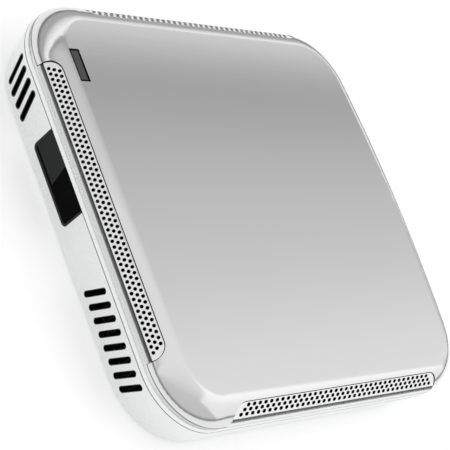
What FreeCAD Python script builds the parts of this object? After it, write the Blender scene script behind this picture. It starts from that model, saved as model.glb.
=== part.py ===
import FreeCAD
import Part
import math
import os

# Pocket projector with a slot-loading disc drive, lying flat on its feet.
# Millimetres. +Z is up, -Y is the front with the lens window, +Y is the back with the disc slot.
# The origin is the middle of the plan, on the plane that the feet stand on.

V = FreeCAD.Vector

# --- outer body -----------------------------------------------------------------------------------
DISC_R = 60.0              # the disc that the body is built round
DISC_SIDE_ROOM = 12.5      # disc's edge to the side of the body
DISC_BACK_ROOM = 6.75      # loaded disc's edge to the back of the body
FRONT_BAY = 34.75          # front of the body to the loaded disc's edge: light engine and blower
BODY_W = 2 * (DISC_R + DISC_SIDE_ROOM)                  # width along X, at the seam
BODY_D = FRONT_BAY + 2 * DISC_R + DISC_BACK_ROOM        # depth along Y, at the seam, to the bow's middle
SIDE_X = BODY_W / 2
FRONT_Y = -BODY_D / 2
BACK_Y = BODY_D / 2
FOOT_PROUD = 1.0           # how far the feet stand out of the underside
SEAM_H = 14.6              # underside to the seam between housing and bezel ring
RING_H = 17.8              # underside to the line between bezel ring and top cover
TOP_EDGE_H = 24.8          # underside to the flat top, at the side edges
CROWN = 0.6                # rise of the top from the side edges to the middle
SHOULDER_R = 8.5           # rounding between the side and the top
FRONT_CORNER_R = 21.0      # plan corners at the front
BACK_CORNER_R = 24.6       # plan corners at the back
BACK_BOW_R = 520.0         # plan radius of the bowed back edge
BOTTOM_INSET = 2.2         # how far the side walls lean in, from the seam to the underside
BOTTOM_CORNER_EXTRA = 5.0  # the underside's corners are rounder by this much
REVEAL = 0.25              # visible gap at the seams
HOUSING_WALL = 2.0
FLOOR = 1.8
COVER_WALL = 1.6

# --- perforated strips on the front, left and right shoulders -------------------------------------
FRONT_STRIP = {"length": BODY_W - 45.4, "inset": 0.80, "height": 19.85, "width": 5.10, "slope": 47.5,
               "end": 2.2, "pitch": 1.90, "rim_inset": 0.34, "rim_drop": 1.15,
               "hole_length": 0.96, "hole_width": 0.96, "first_row": 1.05}
SIDE_STRIP = {"length": BODY_D - 50.1, "inset": 1.25, "height": 20.75, "width": 5.25, "slope": 40.5,
              "end": 3.2, "pitch": 2.83, "rim_inset": 0.45, "rim_drop": 1.75,
              "hole_length": 1.50, "hole_width": 1.00, "first_row": 1.25}
STRIP_ROWS = 3
STRIP_ROW_PITCH = 1.47
STRIP_CORNER_R = 4.6       # the rounded inner corners of a strip
STRIP_GAP = 0.20           # between a strip's seat and the cover's cut-out
GRILLE_T = 0.8             # thickness of the perforated metal
GRILLE_GAP = 0.10          # under and beside the perforated metal
SEAT_T = 1.0               # ledge that the perforated metal lies on
SEAT_RIM = 0.5             # width of that ledge round its opening
BAND_INSET = 0.08          # foot of the bright band behind the side's face
BAND_ROOT = 0.6            # how far the strip's seat reaches down into the ring
VALLEY_END = 0.25          # valley's inner end, below the land's lower edge
VALLEY_SAG = (0.42, 0.12)  # shares of the way in and up at the valley's middle

# --- front wall -----------------------------------------------------------------------------------
WINDOW_LEFT = -29.9
WINDOW_RIGHT = -1.0
WINDOW_BOTTOM_H = 3.6
WINDOW_CORNER_R = 2.0
GASKET_W = 0.8
WINDOW_T = 1.2
WINDOW_SINK = 0.25         # window face behind the wall's face
FIT_GAP = 0.10             # between the window, its gasket and the notch
SLOT_W = 1.75
LEFT_SLOTS = {"count": 4, "first_x": -SIDE_X + 17.7, "pitch": 4.42,
              "length": 11.0, "height": 7.7, "lean": 21.9}
RIGHT_SLOTS = {"count": 8, "first_x": 22.2, "pitch": 4.45,
               "length": 10.4, "height": 7.6, "lean": -18.2}

# --- rocker key on the top ------------------------------------------------------------------------
KEY_X = -SIDE_X + 25.65
KEY_Y = FRONT_Y + 10.7
KEY_OPENING_W = 11.7
KEY_OPENING_D = 4.4
KEY_GAP = 0.30
KEY_TOP_DROP = 0.15
KEY_DEPTH = 2.4
KEY_PIN_R = 0.5
KEY_PIN_DROP = 1.9         # pivot below the key's top
KEY_LUG_T = 1.0
KEY_NUB_X = 3.5            # contact nubs under the key, each side of the pivot
KEY_NUB_H = 0.4
KEY_SWITCH_H = 1.2
KEY_TRAVEL_GAP = 0.25
KEY_BOARD_T = 0.8
KEY_BOARD_OUT = 4.0        # board's ends past the opening
KEY_BOARD_HALF_D = 2.6
KEY_EDGE_R = 0.25
KEY_NUB_R = 0.6
KEY_LUG_HALF = 1.6
KEY_LUG_DROP = 1.5         # ear below the pivot
KEY_PILLAR_R = 1.2
KEY_PILLAR_OUT = 2.2
KEY_SWITCH_HALF = 1.5
PLUNGER_R = 0.8
PLUNGER_H = 0.3

# --- side buttons ---------------------------------------------------------------------------------
BUTTON_YS = (FRONT_Y + 36.75, FRONT_Y + 47.75)      # power, then eject
BUTTON_Z = 9.0
BUTTON_R = 3.0
BUTTON_GAP = 0.25
BUTTON_PROUD = 0.6
BUTTON_TRAVEL = 0.5
BUTTON_EDGE_R = 0.4
FLANGE_R = 4.0
FLANGE_T = 0.7
FLANGE_GAP = 0.15
STEM_R = 1.2
STEM_GAP = 0.2             # between a pressed stem and its switch
SWITCH_FACE_X = -SIDE_X + 6.5
SWITCH_DEPTH = 1.8         # plunger's face to the board
SWITCH_PLUNGER = 0.6
SWITCH_HALF = 2.2
SWITCH_PLUNGER_R = 1.0
SIDE_BOARD_T = 1.0
SIDE_BOARD_END = 6.0       # board past the buttons
SIDE_BOARD_TOP = 14.0
RIB_IN = 1.2
RIB_OUT = 1.4
RIB_WALL = 1.2
RIB_TOP = 11.0
RIB_GAP = 0.1

# --- disc drive -----------------------------------------------------------------------------------
DISC_Y = BACK_Y - DISC_BACK_ROOM - DISC_R   # middle of the loaded disc
DISC_Z = 12.1              # underside of the loaded disc
DISC_T = 1.2
SLOT_HALF_W = DISC_R + 1.5
SLOT_Z = (DISC_Z - 0.5, DISC_Z + DISC_T + 0.8)
LIP_T = 1.2
LIP_GAP = 0.5              # between the two felt lips
LIP_OVERLAP = 0.6          # felt above and below the slot, glued to the wall
CHASSIS_Z = 9.2
CHASSIS_T = 1.0
PLATE_Z = 16.0             # underside of the disc guide plate
PLATE_T = 0.8
RUN_GAP = 0.05             # radial running clearance of shafts, rods and pins
BODY_GAP = 0.30            # between pieces that move apart
SEAT_GAP = 0.03            # between a piece and what it is fastened to
LAID_GAP = 0.05            # under a piece that lies on its seat
THREAD_GAP = 0.05          # radial, round a screw that cuts its own thread

# --- fasteners ------------------------------------------------------------------------------------
FRONT_BOSS = (SIDE_X - 11.5, FRONT_Y + 16.75)
BACK_BOSS = (SIDE_X - 8.7, BACK_Y - 20.75)
BOSS_R = 3.0
SCREW_HEAD_R = 2.3
SCREW_HEAD_H = 1.3
SCREW_SHANK_R = 1.1
SCREW_HOLE_GAP = 0.10
SCREW_TOP_Z = 20.0
SCREW_SINK = 0.3           # screw head under the underside
SCREW_DRIVE_HALF = 1.2
SCREW_DRIVE_W = 0.5
SCREW_DRIVE_DEPTH = 0.7
SMALL_SCREW_R = 0.8
SMALL_HEAD_R = 1.6
SMALL_HEAD_H = 0.8

# --- feet and tripod socket -----------------------------------------------------------------------
FOOT_PLACES = ((SIDE_X - 22.5, FRONT_Y + 20.75), (SIDE_X - 24.5, BACK_Y - 24.75))
FEET = [(sx * x, y) for x, y in FOOT_PLACES for sx in (-1, 1)]
FOOT_R = 5.0
FOOT_RECESS = 0.6
FOOT_GAP = 0.1
TRIPOD = (0.0, DISC_Y - 34.0)
TRIPOD_R = 3.175           # quarter-inch camera thread
TRIPOD_WALL = 1.4
TRIPOD_LENGTH = 6.2

# --- light engine ---------------------------------------------------------------------------------
LENS_X = (WINDOW_LEFT + WINDOW_RIGHT) / 2
LENS_Z = 10.4
SLEEVE_R = 5.2
SLEEVE_BORE_R = 4.55
SLEEVE_FRONT = FRONT_Y + 5.75
ENGINE = (-42.0, 2.0, FRONT_Y + 18.75, FRONT_Y + 32.25)   # left, right, front, back
LAMP_Y = (ENGINE[2] + ENGINE[3]) / 2                      # line that the lamps shine along
ENGINE_Z = (3.3, 18.0)
ENGINE_WALL = 1.2
LID_T = 0.6
GEAR_MODULE = 0.5
FOCUS_TEETH = 26
PINION_TEETH = 12
FOCUS_GEAR_Y = (SLEEVE_FRONT + 3.5, SLEEVE_FRONT + 6.2)
PINION_ANGLE = 12.0
GEAR_BACKLASH = 0.16
PRESSURE_ANGLE = 20.0
PINION_SHAFT_R = 0.7
MOTOR_R = 3.1
CELL_Y = (SLEEVE_FRONT + 0.8, SLEEVE_FRONT + 6.0)
CELL_WALL = 0.7
CELL_LIP = 0.5
REAR_LENS_Y = (SLEEVE_FRONT + 8.6, SLEEVE_FRONT + 11.8)
PRISM_HALF = 4.2
CONDENSERS_X = (LENS_X - 9.0, LENS_X + 8.0)
CONDENSER_R = 3.6
CONDENSER_BALL_R = 7.0
CONDENSER_HALF_T = 1.5
MIRRORS_X = (LENS_X - 14.5, LENS_X - 19.5)
MIRROR_HALF = 4.6
MIRROR_HALF_T = 0.4
MIRROR_ANGLE = 38.0
CHIP_BOARD_HALF = 12.0
CHIP_HALF = (4.6, 3.0)
CHIP_BACK_HALF = (6.0, 5.0)
LAMP_BOARD_T = 1.6
LAMP_BOARD_HALF = 5.5
LAMP_DIE_HALF = 1.5
LAMP_WINDOW_HALF = 2.25

# --- cooling --------------------------------------------------------------------------------------
BLOWER_SIDE = 33.0
BLOWER_RIGHT = FRONT_BOSS[0] - 4.0
BLOWER_FRONT = FRONT_Y + 12.95
BLOWER = (BLOWER_RIGHT - BLOWER_SIDE, BLOWER_RIGHT, BLOWER_FRONT, BLOWER_FRONT + BLOWER_SIDE)
BLOWER_Z = (3.1, 10.9)
BLOWER_WALL = 0.8
RIGHT_SINK = (BLOWER[0], BLOWER[1] - 3.0, FRONT_Y + 5.15, BLOWER[2] - 0.8)
LEFT_SINK = (-FRONT_BOSS[0] + BOSS_R + 0.6, ENGINE[0] - 4.5, FRONT_Y + 10.35, FRONT_Y + 27.75)
FIN_T = 0.6
FIN_PITCH = 2.0
PIPE_R = 1.5
PIPE_BEND_R = 6.0
SPREADER_W = 4.4
SINK_Z = (3.4, 16.2)
SINK_BASE_T = 1.6
BLOWER_HUB_R = 6.5
BLOWER_WHEEL_R = 13.0
BLOWER_PIN_R = 0.8
BLOWER_PIN_DROP = 2.2      # top of the fixed pin under the case's top
BLADES = 18
BLADE_HALF_T = 0.3
BLADE_SWEEP = 24.0

# --- boards, sockets and battery ------------------------------------------------------------------
CHASSIS_BACK = DISC_Y + 26.0
BOARD = (-SIDE_X + 16.5, SIDE_X - 16.5, CHASSIS_BACK + 2.0)   # left, right, front
BOARD_Z = 3.6
BOARD_T = 1.2
BOARD_EDGE_GAP = 0.6
BOARD_POST_R = 2.4
BOARD_POSTS_Y = (BOARD[2] + 4.5, BACK_Y - 10.75)
CHIP_CHAMFER = 0.15
INDUCTOR_X = SIDE_X - 31.5
# middle of each chip along X and behind the board's front edge, then width, depth and height
CHIPS = ((-30.0, 12.0, 17.0, 17.0, 1.6), (-6.0, 15.5, 10.0, 13.0, 1.1), (9.0, 14.0, 9.0, 9.0, 1.0),
         (26.0, 13.0, 12.0, 12.0, 1.2), (INDUCTOR_X, 20.0, 6.0, 6.0, 2.8), (INDUCTOR_X, 28.5, 6.0, 6.0, 2.8))
# middle of each socket along X, then width, height and depth
PORTS = {"power_jack": (-SIDE_X + 32.5, 9.0, 6.0, 13.0), "hdmi_socket": (-SIDE_X + 53.5, 15.0, 5.6, 11.5),
         "usb_socket": (3.0, 14.4, 6.0, 13.5), "audio_jack": (22.0, 7.0, 5.2, 12.0)}
JACK_BORE_R = {"power_jack": 2.55, "audio_jack": 1.8}
POWER_PIN_R = 0.9
PORT_GAP = 0.3
PORT_SINK = 0.5            # socket's mouth behind the housing's outer face
PORT_WALL = 0.45
TONGUE_MARGIN = 2.2
TONGUE_HALF_T = 0.4
TONGUE_RISE = {"hdmi_socket": 0.0, "usb_socket": 1.3}
BATTERY = (14.5, SIDE_X - 6.5, BLOWER[3] + 16.2, DISC_Y + 17.2)
BATTERY_T = 5.8
BATTERY_EDGE_R = 1.6
STOP_T = 1.1
STOP_GAP = 0.2
STOP_H = 1.6

# --- drive chassis and what it carries ------------------------------------------------------------
LEAD_Y = DISC_Y - 21.5
LEAD_Z = 6.2
LEAD_R = 1.0
LEAD_PITCH = 3.0
LEAD_GROOVE_W = 0.8
LEAD_GROOVE_DEPTH = 0.25
CHASSIS_POSTS = ((SIDE_X - 20.5, BLOWER[3] + 10.8), (-SIDE_X + 20.5, LEAD_Y - 16.5),
                 (SIDE_X - 22.5, CHASSIS_BACK - 3.4), (-SIDE_X + 22.5, CHASSIS_BACK - 3.4))
CHASSIS_SIDE_IN = 14.5     # chassis edge to the side of the body
EAR_W = 7.0
POST_R = 3.0
POST_TOP = 8.4
GROMMET_R = 3.0
GROMMET_NECK_R = 1.95
GROMMET_RIM = 0.75
SPACERS = ((SIDE_X - 10.7, BLOWER[3] + 14.8), (-SIDE_X + 10.7, BUTTON_YS[1] + 13.0),
           (SIDE_X - 8.9, CHASSIS_BACK - 4.4), (-SIDE_X + 8.9, CHASSIS_BACK - 4.4))
SPACER_R = 2.1
SPINDLE_R = 11.0
STATOR_Z = 5.2
SHAFT_R = 1.0
PLATTER_R = 13.0
HUB_R = 7.3
ROD_R = 1.2
ROD_Z = 7.0
ROD_YS = (DISC_Y - 14.0, DISC_Y + 14.0)
ROD_X = (-SIDE_X + 4.3, -12.0)
ROD_TAB_T = 1.6
ROD_TAB_HALF = 2.4
ROD_TAB_DROP = 1.9
MOTOR_TAB_X = (-20.4, -19.6)
MOTOR_TAB_HALF = 3.4
MOTOR_TAB_DROP = 2.6
SLED_MOTOR_R = 2.9
SLED_MOTOR_BACK = -8.6
PICKUP_IN = -23.0          # lens at the disc's inner track
PICKUP_OUT = -DISC_R + 3.0 # lens at the disc's outer track
PICKUP_LENS_R = 2.6
PICKUP_ROOM = (8.6, 12.5)  # cut-out of the chassis round the pickup, along X and Y
SLED_Z = (5.0, CHASSIS_Z - BODY_GAP)
CRADLE_Y = CHASSIS_BACK + 4.5
CRADLE_Z = 8.8
ROLLER_Y = CRADLE_Y + 8.0
ROLLER_Z = 9.1
ROLLER_R = 2.3
ROLLER_WAIST = 0.5
ROLLER_SHAFT_R = 0.8
ARM_X = (SIDE_X - 13.1, SIDE_X - 12.1)
ARM_R = 2.0
ARM_HALF_W = 1.6
HINGE_TAB = (7.4, 5.4)     # hinge tab's faces inside the cradle's arms
MOTOR_END_X = -ARM_X[0] + 8.8
BEAD_R = (26.0, 23.0)
BEAD_H = 0.6
GUIDE_HOLE_R = 9.0

# --- loudspeakers ---------------------------------------------------------------------------------
SPEAKER_X = (SIDE_X - 26.5, SIDE_X - 11.0)
SPEAKER_Y = (DISC_Y - 27.5, DISC_Y + 15.0)
SPEAKER_T = 5.4
SPEAKER_CORNER_R = 2.0
CONE_HALF = 10.0           # middle of the speaker to its rounded ends
CONE_R = 6.2
CONE_DEPTH = 1.2
DOME_HALF = 8.0
DOME_R = 3.0
DOME_DROP = 0.5
DOME_T = 0.9

BASE = FOOT_PROUD
FLOOR_Z = BASE + FLOOR
SEAM_Z = BASE + SEAM_H
RING_Z = BASE + RING_H
TOP_EDGE_Z = BASE + TOP_EDGE_H
TALL = 2 * TOP_EDGE_Z      # higher than anything, for cutting tools
TRIM = 1.0                 # overshoot of a shape that another one trims
ROOT = 0.5                 # how deep a post or rib is rooted in its floor
EPS = 0.01                 # tells one edge from another


def box(x0, x1, y0, y1, z0, z1):
    return Part.makeBox(x1 - x0, y1 - y0, z1 - z0, V(x0, y0, z0))


def rod_z(x, y, z0, z1, r):
    return Part.makeCylinder(r, z1 - z0, V(x, y, z0))


def rod_x(x0, x1, y, z, r):
    return Part.makeCylinder(r, x1 - x0, V(x0, y, z), V(1, 0, 0))


def rod_y(x, y0, y1, z, r):
    return Part.makeCylinder(r, y1 - y0, V(x, y0, z), V(0, 1, 0))


def tube_z(x, y, z0, z1, r_out, r_in):
    return rod_z(x, y, z0, z1, r_out).cut(rod_z(x, y, z0, z1, r_in))


def fuse(shapes):
    result = shapes[0].multiFuse(shapes[1:]) if len(shapes) > 1 else shapes[0]
    return result.removeSplitter()


def cut(shape, tools):
    return shape.cut(Part.makeCompound(tools)) if tools else shape


def save(name, shapes):
    shape = Part.makeCompound(shapes) if isinstance(shapes, list) else shapes
    shape.exportStep("parts/" + name + ".step")
    solids = shape.Solids
    note = "" if all(solid.isValid() for solid in solids) else "INVALID"
    print(name, len(solids), "solids", round(sum(solid.Volume for solid in solids), 1), "mm3", note)


# --- outline of the body in plan ------------------------------------------------------------------

def outline_edges(inset, z, extra=0.0):
    """Plan outline of the body, drawn in by inset; extra makes its corners rounder."""
    half_w = SIDE_X - inset
    front_y = FRONT_Y + inset
    front_r = FRONT_CORNER_R + extra - inset
    back_r = BACK_CORNER_R + extra - inset
    bow_r = BACK_BOW_R - inset
    bow_y = BACK_Y - BACK_BOW_R
    front_cx, front_cy = half_w - front_r, front_y + front_r
    back_cx = half_w - back_r
    back_cy = bow_y + math.sqrt((bow_r - back_r) ** 2 - back_cx ** 2)
    bow_angle = math.degrees(math.atan2(back_cy - bow_y, back_cx))

    def on_arc(cx, cy, r, angle):
        a = math.radians(angle)
        return V(cx + r * math.cos(a), cy + r * math.sin(a), z)

    def arc(cx, cy, r, a0, a1):
        middle = on_arc(cx, cy, r, (a0 + a1) / 2)
        return Part.Arc(on_arc(cx, cy, r, a0), middle, on_arc(cx, cy, r, a1)).toShape()

    return [
        Part.makeLine(V(-front_cx, front_y, z), V(front_cx, front_y, z)),
        arc(front_cx, front_cy, front_r, -90, 0),
        Part.makeLine(V(half_w, front_cy, z), V(half_w, back_cy, z)),
        arc(back_cx, back_cy, back_r, 0, bow_angle),
        arc(0, bow_y, bow_r, bow_angle, 180 - bow_angle),
        arc(-back_cx, back_cy, back_r, 180 - bow_angle, 180),
        Part.makeLine(V(-half_w, back_cy, z), V(-half_w, front_cy, z)),
        arc(-front_cx, front_cy, front_r, 180, 270),
    ]


def outline_wire(inset, z, extra=0.0):
    return Part.Wire(outline_edges(inset, z, extra))


def prism(inset, z0, z1):
    return Part.Face(outline_wire(inset, z0)).extrude(V(0, 0, z1 - z0))


def wall_lean(z):
    """How far the housing's outer face stands in from the seam outline at height z."""
    return BOTTOM_INSET * (SEAM_Z - z) / SEAM_H


def back_face_y(x, inset=0.0):
    """Y of the back edge's outline at x."""
    return BACK_Y - BACK_BOW_R + math.sqrt((BACK_BOW_R - inset) ** 2 - x ** 2)


def crown_z(x):
    """Height of the top at x, before the shoulders."""
    half_w = SIDE_X
    r = (half_w ** 2 + CROWN ** 2) / (2 * CROWN)
    return TOP_EDGE_Z + CROWN - r + math.sqrt(r * r - x * x)


def crowned(inset, drop, z0):
    """Body with a crowned top and rounded shoulders, drawn in by inset and lowered by drop."""
    half_w = SIDE_X
    left = V(-half_w, -BODY_D, crown_z(half_w) - drop)
    right = V(half_w, -BODY_D, crown_z(half_w) - drop)
    middle = V(0, -BODY_D, crown_z(0) - drop)
    low_left, low_right = V(-half_w, -BODY_D, z0), V(half_w, -BODY_D, z0)
    edges = [Part.makeLine(low_left, low_right), Part.makeLine(low_right, right),
             Part.Arc(right, middle, left).toShape(), Part.makeLine(left, low_left)]
    tunnel = Part.Face(Part.Wire(edges)).extrude(V(0, 2 * BODY_D, 0))
    block = prism(inset, z0, TALL).common(tunnel)
    top = max(block.Faces, key=lambda f: f.CenterOfMass.z)
    return block.makeFillet(SHOULDER_R - inset, top.Edges)


def upper_shell():
    z0 = SEAM_Z + REVEAL
    return crowned(0.0, 0.0, z0).cut(crowned(COVER_WALL, COVER_WALL, z0 - 1.0))


# --- perforated strips ----------------------------------------------------------------------------

def strip_point(strip, along, out):
    """(inset, z) of a point on the strip's sloping land: along it uphill, and out of it."""
    a = math.radians(strip["slope"])
    inset = strip["inset"] + along * math.cos(a) - out * math.sin(a)
    return inset, BASE + strip["height"] + along * math.sin(a) + out * math.cos(a)


def place_strip(shape, side):
    """Moves a shape drawn with X along the side and Y inwards to that side of the body."""
    turn, at = {"front": (0, V(0, FRONT_Y, 0)), "right": (90, V(SIDE_X, 0, 0)),
                "left": (-90, V(-SIDE_X, 0, 0))}[side]
    placed = shape.copy()
    placed.Placement = FreeCAD.Placement(at, FreeCAD.Rotation(V(0, 0, 1), turn)).multiply(placed.Placement)
    return placed


def land_prism(strip, grow, low, depth_in, depth_out):
    """Block over the strip's land: square at its lower edge, round at its upper corners."""
    half = strip["length"] / 2 + grow
    high = strip["width"] + grow
    r = min(STRIP_CORNER_R + grow, high - low - FIT_GAP)
    c = r * math.cos(math.radians(45))

    def at(u, w):
        inset, z = strip_point(strip, w, -depth_in)
        return V(u, inset, z)

    edges = [Part.makeLine(at(-half, low), at(half, low)), Part.makeLine(at(half, low), at(half, high - r)),
             Part.Arc(at(half, high - r), at(half - r + c, high - r + c), at(half - r, high)).toShape(),
             Part.makeLine(at(half - r, high), at(-half + r, high)),
             Part.Arc(at(-half + r, high), at(-half + r - c, high - r + c), at(-half, high - r)).toShape(),
             Part.makeLine(at(-half, high - r), at(-half, low))]
    a = math.radians(strip["slope"])
    out = V(0, -math.sin(a), math.cos(a)) * (depth_in + depth_out)
    return Part.Face(Part.Wire(edges)).extrude(out)


def strip_notch(strip):
    """What the cover gives up for a strip."""
    a = math.radians(strip["slope"])
    low = -(strip["height"] - RING_H + 2 * REVEAL) / math.sin(a)
    deep = (COVER_WALL - strip["inset"]) * math.sin(a) + (strip["height"] - RING_H + BAND_ROOT) * math.cos(a)
    return land_prism(strip, STRIP_GAP, low - TRIM, deep + TRIM, 5 * TRIM)


def strip_seat(strip):
    """Band, valley and ledge that the bezel ring carries along a side."""
    under = GRILLE_T + GRILLE_GAP
    foot_z = RING_Z - BAND_ROOT
    rim = (strip["rim_inset"], BASE + strip["height"] - strip["rim_drop"])
    valley = strip_point(strip, -VALLEY_END, -under)
    ledge_end = strip_point(strip, strip["width"] + TRIM, -under)
    ledge_back = strip_point(strip, strip["width"] + TRIM, -under - SEAT_T)
    ledge_root = strip_point(strip, -BAND_ROOT, -under - SEAT_T)
    outer = (BAND_INSET, foot_z)
    inner = (COVER_WALL, foot_z)
    hollow = [r + share * (v - r) for r, v, share in zip(rim, valley, VALLEY_SAG)]
    points = [V(0, y, z) for y, z in (outer, rim, valley, ledge_end, ledge_back, ledge_root, inner)]
    edges = [Part.makeLine(points[0], points[1]),
             Part.Arc(points[1], V(0, hollow[0], hollow[1]), points[2]).toShape()]
    edges += [Part.makeLine(a, b) for a, b in zip(points[2:], points[3:] + points[:1])]
    length = strip["length"] + 2 * TRIM
    bar = Part.Face(Part.Wire(edges)).extrude(V(length, 0, 0))
    bar.translate(V(-length / 2, 0, 0))
    low = -(strip["height"] - RING_H + 2 * TRIM) / math.sin(math.radians(strip["slope"]))
    bar = bar.common(land_prism(strip, 0.0, low - 1.5 * TRIM, 4 * TRIM, 3 * TRIM))
    opening = dict(strip)
    opening["length"] = strip["length"] - 2 * SEAT_RIM
    opening["width"] = strip["width"] - SEAT_RIM
    return bar.cut(land_prism(opening, 0.0, SEAT_RIM, 6 * TRIM, 2 * TRIM))


def strip_holes(strip):
    """Staggered rows of holes through the strip, the lowest row longest."""
    a = math.radians(strip["slope"])
    out = V(0, -math.sin(a), math.cos(a))
    r = strip["hole_width"] / 2
    reach = (strip["hole_length"] - strip["hole_width"]) / 2
    holes = []
    longest = int((strip["length"] - 2 * strip["end"]) / strip["pitch"]) + 1
    for row in range(STRIP_ROWS):
        count = longest - row
        inset, z = strip_point(strip, strip["first_row"] + row * STRIP_ROW_PITCH, -2 * GRILLE_T)
        for i in range(count):
            u = (i - (count - 1) / 2) * strip["pitch"]
            if reach < 0.01:
                holes.append(Part.makeCylinder(r, 3 * GRILLE_T, V(u, inset, z), out))
                continue
            up = V(0, math.cos(a), math.sin(a)) * r
            ends = [V(u - reach, inset, z), V(u + reach, inset, z)]
            edges = [Part.makeLine(ends[0] - up, ends[1] - up),
                     Part.Arc(ends[1] - up, ends[1] + V(r, 0, 0), ends[1] + up).toShape(),
                     Part.makeLine(ends[1] + up, ends[0] + up),
                     Part.Arc(ends[0] + up, ends[0] - V(r, 0, 0), ends[0] - up).toShape()]
            holes.append(Part.Face(Part.Wire(edges)).extrude(out * (3 * GRILLE_T)))
    return holes


def grille(strip):
    plate = land_prism(strip, -GRILLE_GAP, 0.0, GRILLE_T, 0.0)
    return cut(plate, strip_holes(strip))


STRIPS = (("front", FRONT_STRIP), ("left", SIDE_STRIP), ("right", SIDE_STRIP))


# --- casing ---------------------------------------------------------------------------------------

def vent_slots(group):
    """Leaning slots with round ends, cut through the front wall."""
    tools = []
    half = (group["length"] - SLOT_W) / 2
    y0, y1 = FRONT_Y - TRIM, FRONT_Y + FRONT_CORNER_R / 2
    z = BASE + group["height"]
    for i in range(group["count"]):
        x = group["first_x"] + i * group["pitch"]
        bar = fuse([box(x - SLOT_W / 2, x + SLOT_W / 2, y0, y1, z - half, z + half),
                    rod_y(x, y0, y1, z - half, SLOT_W / 2), rod_y(x, y0, y1, z + half, SLOT_W / 2)])
        bar.rotate(V(x, 0, z), V(0, 1, 0), -group["lean"])
        tools.append(bar)
    return tools


def window_shape(grow, depth0, depth1):
    """Window outline, open at the seam, between two depths behind the leaning front wall."""
    left, right = WINDOW_LEFT - grow, WINDOW_RIGHT + grow
    low, high = WINDOW_BOTTOM_H - SEAM_H - grow, 0.0
    r = WINDOW_CORNER_R + grow
    c = r * math.cos(math.radians(45))

    def at(x, z):
        return V(x, depth0, z)

    edges = [Part.makeLine(at(left, high), at(left, low + r)),
             Part.Arc(at(left, low + r), at(left + r - c, low + r - c), at(left + r, low)).toShape(),
             Part.makeLine(at(left + r, low), at(right - r, low)),
             Part.Arc(at(right - r, low), at(right - r + c, low + r - c), at(right, low + r)).toShape(),
             Part.makeLine(at(right, low + r), at(right, high)),
             Part.makeLine(at(right, high), at(left, high))]
    solid = Part.Face(Part.Wire(edges)).extrude(V(0, depth1 - depth0, 0))
    lean = math.degrees(math.atan2(BOTTOM_INSET, SEAM_H))
    solid.rotate(V(0, 0, 0), V(1, 0, 0), lean)
    solid.translate(V(0, FRONT_Y, SEAM_Z))
    return solid


def boss_places():
    return [(sx * b[0], b[1]) for b in (FRONT_BOSS, BACK_BOSS) for sx in (-1, 1)]


def housing_hollow(gap):
    """Inside of the housing above its floor, drawn in by gap."""
    low = outline_wire(HOUSING_WALL + wall_lean(FLOOR_Z) + gap, FLOOR_Z, BOTTOM_CORNER_EXTRA)
    return Part.makeLoft([low, outline_wire(HOUSING_WALL + gap, SEAM_Z)], True, True)


def lower_housing():
    outer = Part.makeLoft([outline_wire(BOTTOM_INSET, BASE, BOTTOM_CORNER_EXTRA), outline_wire(0.0, SEAM_Z)],
                          True, True)
    tx, ty = TRIPOD
    root_z = FLOOR_Z - ROOT
    tripod_top = BASE + TRIPOD_LENGTH
    posts = [rod_z(x, y, root_z, SEAM_Z - REVEAL, BOSS_R).common(outer) for x, y in boss_places()]
    posts += [rod_z(x, y, root_z, z1, r) for x, y, z1, r in chassis_posts() + board_posts()]
    posts.append(rod_z(tx, ty, root_z, tripod_top + 0.6, TRIPOD_R + 2 * TRIPOD_WALL))
    posts += switch_board_ribs() + engine_pads() + battery_stops()
    shell = fuse([outer.cut(housing_hollow(0.0))] + posts)
    tools = vent_slots(LEFT_SLOTS) + vent_slots(RIGHT_SLOTS) + port_openings() + button_bores()
    tools.append(window_shape(0.0, -3 * TRIM, HOUSING_WALL + 1.5 * TRIM))
    tools.append(box(WINDOW_LEFT, WINDOW_RIGHT, FRONT_Y - TRIM, FRONT_Y + 2 * HOUSING_WALL,
                     SEAM_Z - 1.5 * TRIM, SEAM_Z + TRIM))
    tools.append(box(-SLOT_HALF_W, SLOT_HALF_W, BACK_BOSS[1] + BOSS_R + 2.5, BODY_D, SLOT_Z[0], SLOT_Z[1]))
    for x, y in boss_places():
        tools.append(rod_z(x, y, 0, TALL, SCREW_SHANK_R + SCREW_HOLE_GAP))
        tools.append(rod_z(x, y, 0, BASE + SCREW_SINK + SCREW_HEAD_H, SCREW_HEAD_R + SCREW_HOLE_GAP))
    tools += [rod_z(x, y, 0, BASE + FOOT_RECESS, FOOT_R) for x, y in FEET]
    pilot_r = SMALL_SCREW_R + THREAD_GAP
    tools += [rod_z(x, y, z1 - 2.9, z1 + TRIM, pilot_r) for x, y, z1, r in board_posts()]
    tools += [rod_z(x, y, z1 - 6.0, z1 + TRIM, pilot_r) for x, y, z1, r in chassis_posts()]
    tools.append(rod_z(tx, ty, 0, tripod_top, TRIPOD_R + TRIPOD_WALL))
    return cut(shell, tools)


def bezel_ring(shell):
    ring = shell.common(box(-BODY_W, BODY_W, -BODY_D, BODY_D, SEAM_Z + REVEAL, RING_Z))
    return fuse([ring] + [place_strip(strip_seat(strip), side) for side, strip in STRIPS])


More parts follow.
